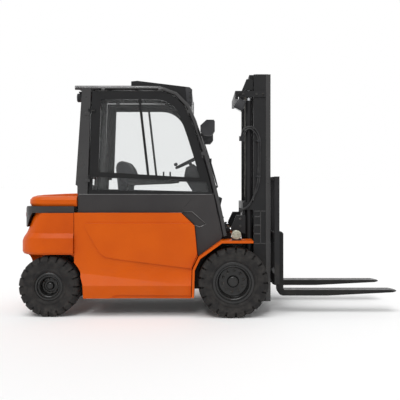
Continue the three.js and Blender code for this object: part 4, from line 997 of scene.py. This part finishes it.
# ---------------------------------------------------------------- mast: uprights and their fittings
def make_mast_trim(front=0.630, half=0.395, thick=0.004):
    """Raised strips on the uprights' outer faces, and the cross beams' and tilt brackets' bolts."""
    strips, bolts = Shape(), Shape()
    ladder = [((0.458, z), (0.520, z + 0.014)) for z in (0.82, 0.91, 1.00)] + [((0.520, 0.72), (0.530, 1.07))]
    ladder += [((0.458, z), (front - 0.052, z + 0.010)) for z in (0.72, 1.06)]
    for side in (-1, 1):
        y0, y1 = across_side(side, half, half + thick)
        for (x0, z0), (x1, z1) in [((front - 0.050, 0.125), (front - 0.001, 2.496))] + ladder:
            strips.block((x0, y0, z0), (x1, y1, z1))
        for x in (0.300, 0.340, 0.48, 0.55):
            add_nut(bolts, (x, side * 0.411, 2.292), (0, side, 0), 0.009)
        for z in (0.915, 0.99):
            add_nut(bolts, (0.305, side * 0.482, z), (0, side, 0), 0.010)
    # The strips are black steel but take the lighter, glossier guard paint: a painted highlight so that they
    # show on the black uprights.
    strips.made("upright_strips", "mast", guard_paint, "black_steel", edge=0.0015)
    bolts.made("upright_bolts", "mast", bolt_steel, "chrome_steel")


def make_mast_lamp(x=0.305, y=-0.437, plate=(-0.4185, -0.4115), aim=(-0.5, 0, -1)):
    """Work lamp on a stirrup under the mast's upper cross beam, on the right."""
    arm = Shape().block((x - 0.014, plate[0], 2.262), (x + 0.014, plate[1], 2.310))
    arm.block((x - 0.014, y - 0.014, 2.2675), (x + 0.014, plate[1], 2.2745))
    arm.block((x - 0.010, y - 0.010, 2.20), (x + 0.010, y + 0.010, 2.27))
    add_nut(arm, (x, plate[0], 2.294), (0, -1, 0), 0.008)
    arm.made("mast_lamp_arm", "mast", black_steel, "black_steel", edge=0.002)
    turn = looking((x - 0.006, y, 2.158), aim)
    body = rounded_stack(0.092, 0.10, 0.022,
                         ((0.55, -0.066), (0.82, -0.052), (1, -0.012), (1, 0.026), (0.95, 0.030)), turn)
    fin = rounded_rectangle(0.005, 0.084, 0.0015, 2)
    for i in range(5):
        body.stacked([[(x, y, z) for x, y in fin] for z in (-0.074, -0.02)],
                     turn @ Matrix.Translation((-0.028 + i * 0.014, 0, 0)))
    body.made("mast_lamp_body", "mast", black_plastic, "black_plastic")
    lamp_face("mast_lamp", turn @ Vector((0, 0, 0.030)), aim, (0.08, 0.09), "mast", corner=0.016)


def make_tilt_boots(folds=9, inner=0.0205):
    """Rubber bellows over the tilt cylinders' rods, from the gland to near the eye."""
    for name, side in SIDES:
        eye, pin = Vector((0.238, side * 0.44, 0.885)), Vector((-0.137, side * 0.44, 0.8))
        along = (eye - pin).normalized()
        start, end = 0.252, (eye - pin).length - 0.034
        fold = (end - start) / folds
        profile = [(inner, 0.0), (0.033, 0.0)]
        for i in range(folds):
            profile += [(0.035, fold * (i + 0.25)), (0.026, fold * (i + 0.75))]
        profile += [(0.030, end - start), (inner, end - start), (inner, 0.0)]
        boot = Shape().lathe(profile, looking(pin + along * start, along), 40)
        boot = boot.made(f"tilt_boot_{name}", None, hose_rubber, "black_plastic")
        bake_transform(boot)


make_chains()
make_hoses()
make_mast_trim()
make_mast_lamp()
make_tilt_boots()


# ---------------------------------------------------------------- cab and body: trim that follows the guard
RAIL_TOP, RAIL_REAR, BEND_X = 2.338, -1.391, -0.572
BEND_RADIUS, BEND_TURN = 0.4, 70
BOW_RADIUS, BOW_TURN = 7.8, 9.6
TUBE_RADIUS = 0.0225
SILL_Z = 1.242


def arc(centre, radius, start, turn, steps):
    """(x, z) points clockwise round a centre, from start degrees."""
    return [(centre[0] + radius * math.cos(a), centre[1] + radius * math.sin(a))
            for a in (math.radians(start - turn * i / steps) for i in range(steps + 1))]


def guard_line(inset, bottom, rear=RAIL_REAR, steps=14):
    """The roof rail's, bend's and front post's outside line as (x, z) points, moved inwards by inset."""
    bend = (BEND_X, RAIL_TOP - BEND_RADIUS)
    bow = arc(bend, BEND_RADIUS - BOW_RADIUS, 90 - BEND_TURN, 0, 1)[0]
    points = [(rear, RAIL_TOP - inset)] + arc(bend, BEND_RADIUS - inset, 90, BEND_TURN, steps)
    for point in arc(bow, BOW_RADIUS - inset, 90 - BEND_TURN, BOW_TURN, steps)[1:]:
        if point[1] < bottom:
            share = (points[-1][1] - bottom) / (points[-1][1] - point[1])
            return points + [(points[-1][0] + share * (point[0] - points[-1][0]), bottom)]
        points.append(point)
    return points


def at_height(line, z):
    """The x of a (x, z) line at a height, on its falling part."""
    for (x0, z0), (x1, z1) in zip(line, line[1:]):
        if z1 <= z <= z0 and z0 != z1:
            return x0 + (x1 - x0) * (z0 - z) / (z0 - z1)
    return line[-1][0]


def make_door_jambs():
    """Rubber-faced jamb behind each door's edge, right round, so that no light shows past the door."""
    outer = guard_line(0.030, SILL_Z + 0.004, rear=-1.224)
    inner = guard_line(0.062, SILL_Z + 0.004, rear=-1.186)
    rear_post = ([(-1.262, SILL_Z + 0.004), (-1.224, RAIL_TOP - 0.030)],
                 [(-1.222, SILL_Z + 0.004), (-1.186, RAIL_TOP - 0.062)])
    sill = ([(-1.262, SILL_Z + 0.003), (outer[-1][0], SILL_Z + 0.003)],
            [(-1.262, SILL_Z + 0.030), (inner[-1][0], SILL_Z + 0.030)])
    for name, side in SIDES:
        y0, y1 = across_side(side, 0.4965, 0.5115)
        shape = Shape()
        lines = [(outer, inner), rear_post] + ([sill] if side < 0 else [])
        for number, (edge, lip) in enumerate(lines):
            inset = 0.0004 * number  # so that no two faces lie in one plane
            low, high = y0 + inset, y1 - inset
            shape.stacked([[(x0, low, z0), (x0, high, z0), (x1, high, z1), (x1, low, z1)]
                           for (x0, z0), (x1, z1) in zip(edge, lip)])
        shape.made(f"door_jamb_{name}", "chassis", hose_rubber, "black_plastic", edge=0.0015)


def make_tube_clamps(grip=0.0252, half=0.018):
    """Cast saddles bolted over the guard's tube."""
    line = guard_line(TUBE_RADIUS, 1.2, steps=40)
    spots = [(x, RAIL_TOP - TUBE_RADIUS, Vector((1, 0, 0))) for x in (-1.102, -0.519)]
    for z in (2.09, 1.66):
        x = at_height(line, z)
        spots.append((x, z, Vector((at_height(line, z - 0.05) - x, 0, -0.05)).normalized()))
    ring = [(0.0228, -half), (0.0246, -half), (grip, 0.002 - half), (grip, half - 0.002), (0.0246, half),
            (0.0228, half), (0.0228, -half)]
    for name, side in SIDES:
        saddles, bolts = Shape(), Shape()
        for x, z, along in spots:
            centre = Vector((x, side * (CAB_SIDE - TUBE_RADIUS), z))
            saddles.lathe(ring, looking(centre, along), 28)
            out = along.cross(Vector((0, 1, 0))).normalized()
            out = out if out.z + out.x > 0 else -out
            for shift in (-0.032, 0.032):
                foot = centre + along * shift + Vector((0, side * 0.0205, 0)) - out * 0.012
                add_nut(bolts, foot, (0, side, 0), 0.0065)
        saddles.made(f"guard_clamps_{name}", "chassis", guard_paint, "guard_steel")
        bolts.made(f"guard_clamp_bolts_{name}", "chassis", bolt_steel, "chrome_steel")


def make_wiper(y=-0.10, pivot_z=1.315, arm_z=1.6):
    """Parallel-arm wiper in front of the windscreen, parked upright by the middle."""
    line = guard_line(-0.016, 1.25, steps=30)

    def front(z, proud):
        return at_height(line, z) + proud

    shape = Shape()
    for pivot_y in (-0.03, 0.03):
        shape.lathe([(0, -0.018), (0.016, -0.018), (0.016, 0.014), (0.011, 0.022), (0, 0.022)],
                    looking((front(pivot_z, 0), pivot_y, pivot_z), (1, 0, 0.25)), 24)
        route = [(front(z, 0.028), pivot_y * (1 - k * 0.6) + y * k, z)
                 for k, z in ((0, pivot_z), (0.3, 1.40), (0.65, 1.50), (1, arm_z))]
        shape.tube(route, [0.007, 0.006, 0.005, 0.004], 10)
    hub = Vector((front(arm_z, 0.03), y, arm_z))
    shape.block(hub - Vector((0.012, 0.02, 0.03)), hub + Vector((0.008, 0.02, 0.03)))
    blade = [(front(z, 0.020), y, z) for z in (1.36, 1.45, 1.55, 1.65, 1.75, 1.84)]
    shape.tube(blade, [0.004, 0.006, 0.0075, 0.0075, 0.006, 0.004], 8)
    shape.made("windscreen_wiper", "chassis", black_plastic, "black_plastic")
    lip = Shape().tube([(front(z, 0.010), y, z) for z in (1.35, 1.5, 1.65, 1.85)], 0.003, 6)
    lip.made("wiper_rubber", "chassis", hose_rubber, "black_plastic")


def make_door_furniture(x=-0.34, z=1.392, hinge_x=-1.242):
    """A pull handle by each door's front edge, and its hinges' pins and bolts."""
    for name, side in SIDES:
        route = [(x + dx, side * (CAB_SIDE + out), z - drop) for dx, out, drop in (
            (-0.075, -0.006, 0), (-0.07, 0.026, 0), (0.03, 0.028, 0.004), (0.075, 0.024, 0.005),
            (0.08, -0.006, 0.006))]
        handle = Shape().tube(smooth_line(route, 5), 0.0075)
        handle.made(f"door_handle_{name}", f"door_{name}", black_plastic, "black_plastic")
        pins = Shape()
        for low in (1.400, 2.087):
            pins.lathe([(0, 0), (0.0075, 0), (0.0075, 0.004), (0.005, 0.007), (0, 0.007)],
                       Matrix.Translation((hinge_x, side * 0.562, low + 0.030)), 18)
            for dx in (0.030, 0.050):
                add_nut(pins, (hinge_x + dx, side * 0.564, low + 0.015), (0, side, 0), 0.005)
        pins.made(f"hinge_pins_{name}", f"door_{name}", bolt_steel, "chrome_steel")


def make_sill_highlight_strips():
    """Bright metal strip along the cowl's upper edge, under the door: a painted highlight of that edge."""
    ends = {"left": -0.245, "right": at_height(guard_line(TUBE_RADIUS * 2 + 0.004, 1.2), SILL_Z)}
    for name, side in SIDES:
        y0, y1 = across_side(side, 0.5495, 0.5455)
        strip = Shape().block((-1.352, y0, SILL_Z + 0.0004), (ends[name], y1, SILL_Z + 0.0036))
        strip.made(f"sill_highlight_strip_{name}", "chassis", sill_highlight_metal, "chrome_steel")


def make_visor_ends():
    """End caps of the roof visor, with their fixings."""
    caps, bolts = Shape(), Shape()
    outline = [(-0.245, 2.165), (-0.190, 2.165), (-0.190, 2.326), (-0.214, 2.348), (-0.262, 2.352)]
    for side in (-1, 1):
        caps.prism(outline, across_side(side, 0.4845, 0.4935))
        for z in (2.20, 2.25, 2.30):
            add_nut(bolts, (-0.212, side * 0.4935, z), (0, side, 0), 0.006)
    caps.made("visor_end_caps", "chassis", black_plastic, "black_plastic", edge=0.002)
    bolts.made("visor_bolts", "chassis", bolt_steel, "chrome_steel")


def make_valve_manifold(top=0.826, first=0.266, spacing=0.033, count=4):
    """Hydraulic pipes' block behind the mast, with a row of hoses down towards the axle, on each side."""
    for name, side in SIDES:
        block, hoses, fittings = Shape(), Shape(), Shape()
        y0, y1 = across_side(side, 0.245, 0.385)
        block.block((0.128, y0, 0.765), (0.218, y1, top))
        block.block((0.100, y0 + 0.02, 0.775), (0.130, y1 - 0.02, 0.812))
        for number in range(count):
            y, rise = side * (first + spacing * number), 0.012 * (number % 2)
            loop = ((0.196, 0.846), (0.180, 0.868), (0.155, 0.870), (0.135, 0.850))
            route = [(0.196, top)] + [(x, z + rise) for x, z in loop]
            route += [(0.128, 0.80), (0.125, 0.68), (0.140, 0.50)]
            hoses.tube(smooth_line([(x, y, z) for x, z in route], 6), 0.010)
            fittings.lathe([(0, 0), (0.014, 0), (0.014, 0.014), (0.012, 0.016), (0.012, 0.03), (0, 0.03)],
                           Matrix.Translation((0.196, y, top - 0.0005)), 6)
        block.made(f"pipe_block_{name}", "chassis", axle_iron, "axle_iron", edge=0.003)
        hoses.made(f"pipe_block_hoses_{name}", "chassis", hose_rubber, "black_plastic")
        fittings.made(f"pipe_block_fittings_{name}", "chassis", bolt_steel, "chrome_steel")


def make_scoop_highlight_edges():
    """Raised lips round the air scoop in each cowl, in light grey gloss: a painted highlight where the
    scoop's edges catch the light.
    """
    upper = ((-0.293, 1.068), (-0.190, 1.066), (-0.140, 1.022), (-0.046, 0.942))
    lower = ((-0.168, 0.930), (-0.117, 0.910), (-0.085, 0.920), (-0.046, 0.938))
    for name, side in SIDES:
        low, high = corners(f"cowl_{name}")
        y = (high.y if side > 0 else low.y) - side * 0.0035
        shape = Shape()
        for places, thick in ((upper, (0.0035, 0.004)), (lower, (0.004, 0.0045))):
            shape.tube([(x, y, z) for x, z in places], (0.0015, *thick, 0.0015))
        shape.made(f"scoop_highlight_edges_{name}", "chassis", scoop_highlight_paint, "charcoal_panel")


make_door_jambs()
make_tube_clamps()
make_wiper()
make_door_furniture()
make_sill_highlight_strips()
make_visor_ends()
make_valve_manifold()
make_scoop_highlight_edges()


# ---------------------------------------------------------------- finish
scene.view_settings.view_transform = "Standard"
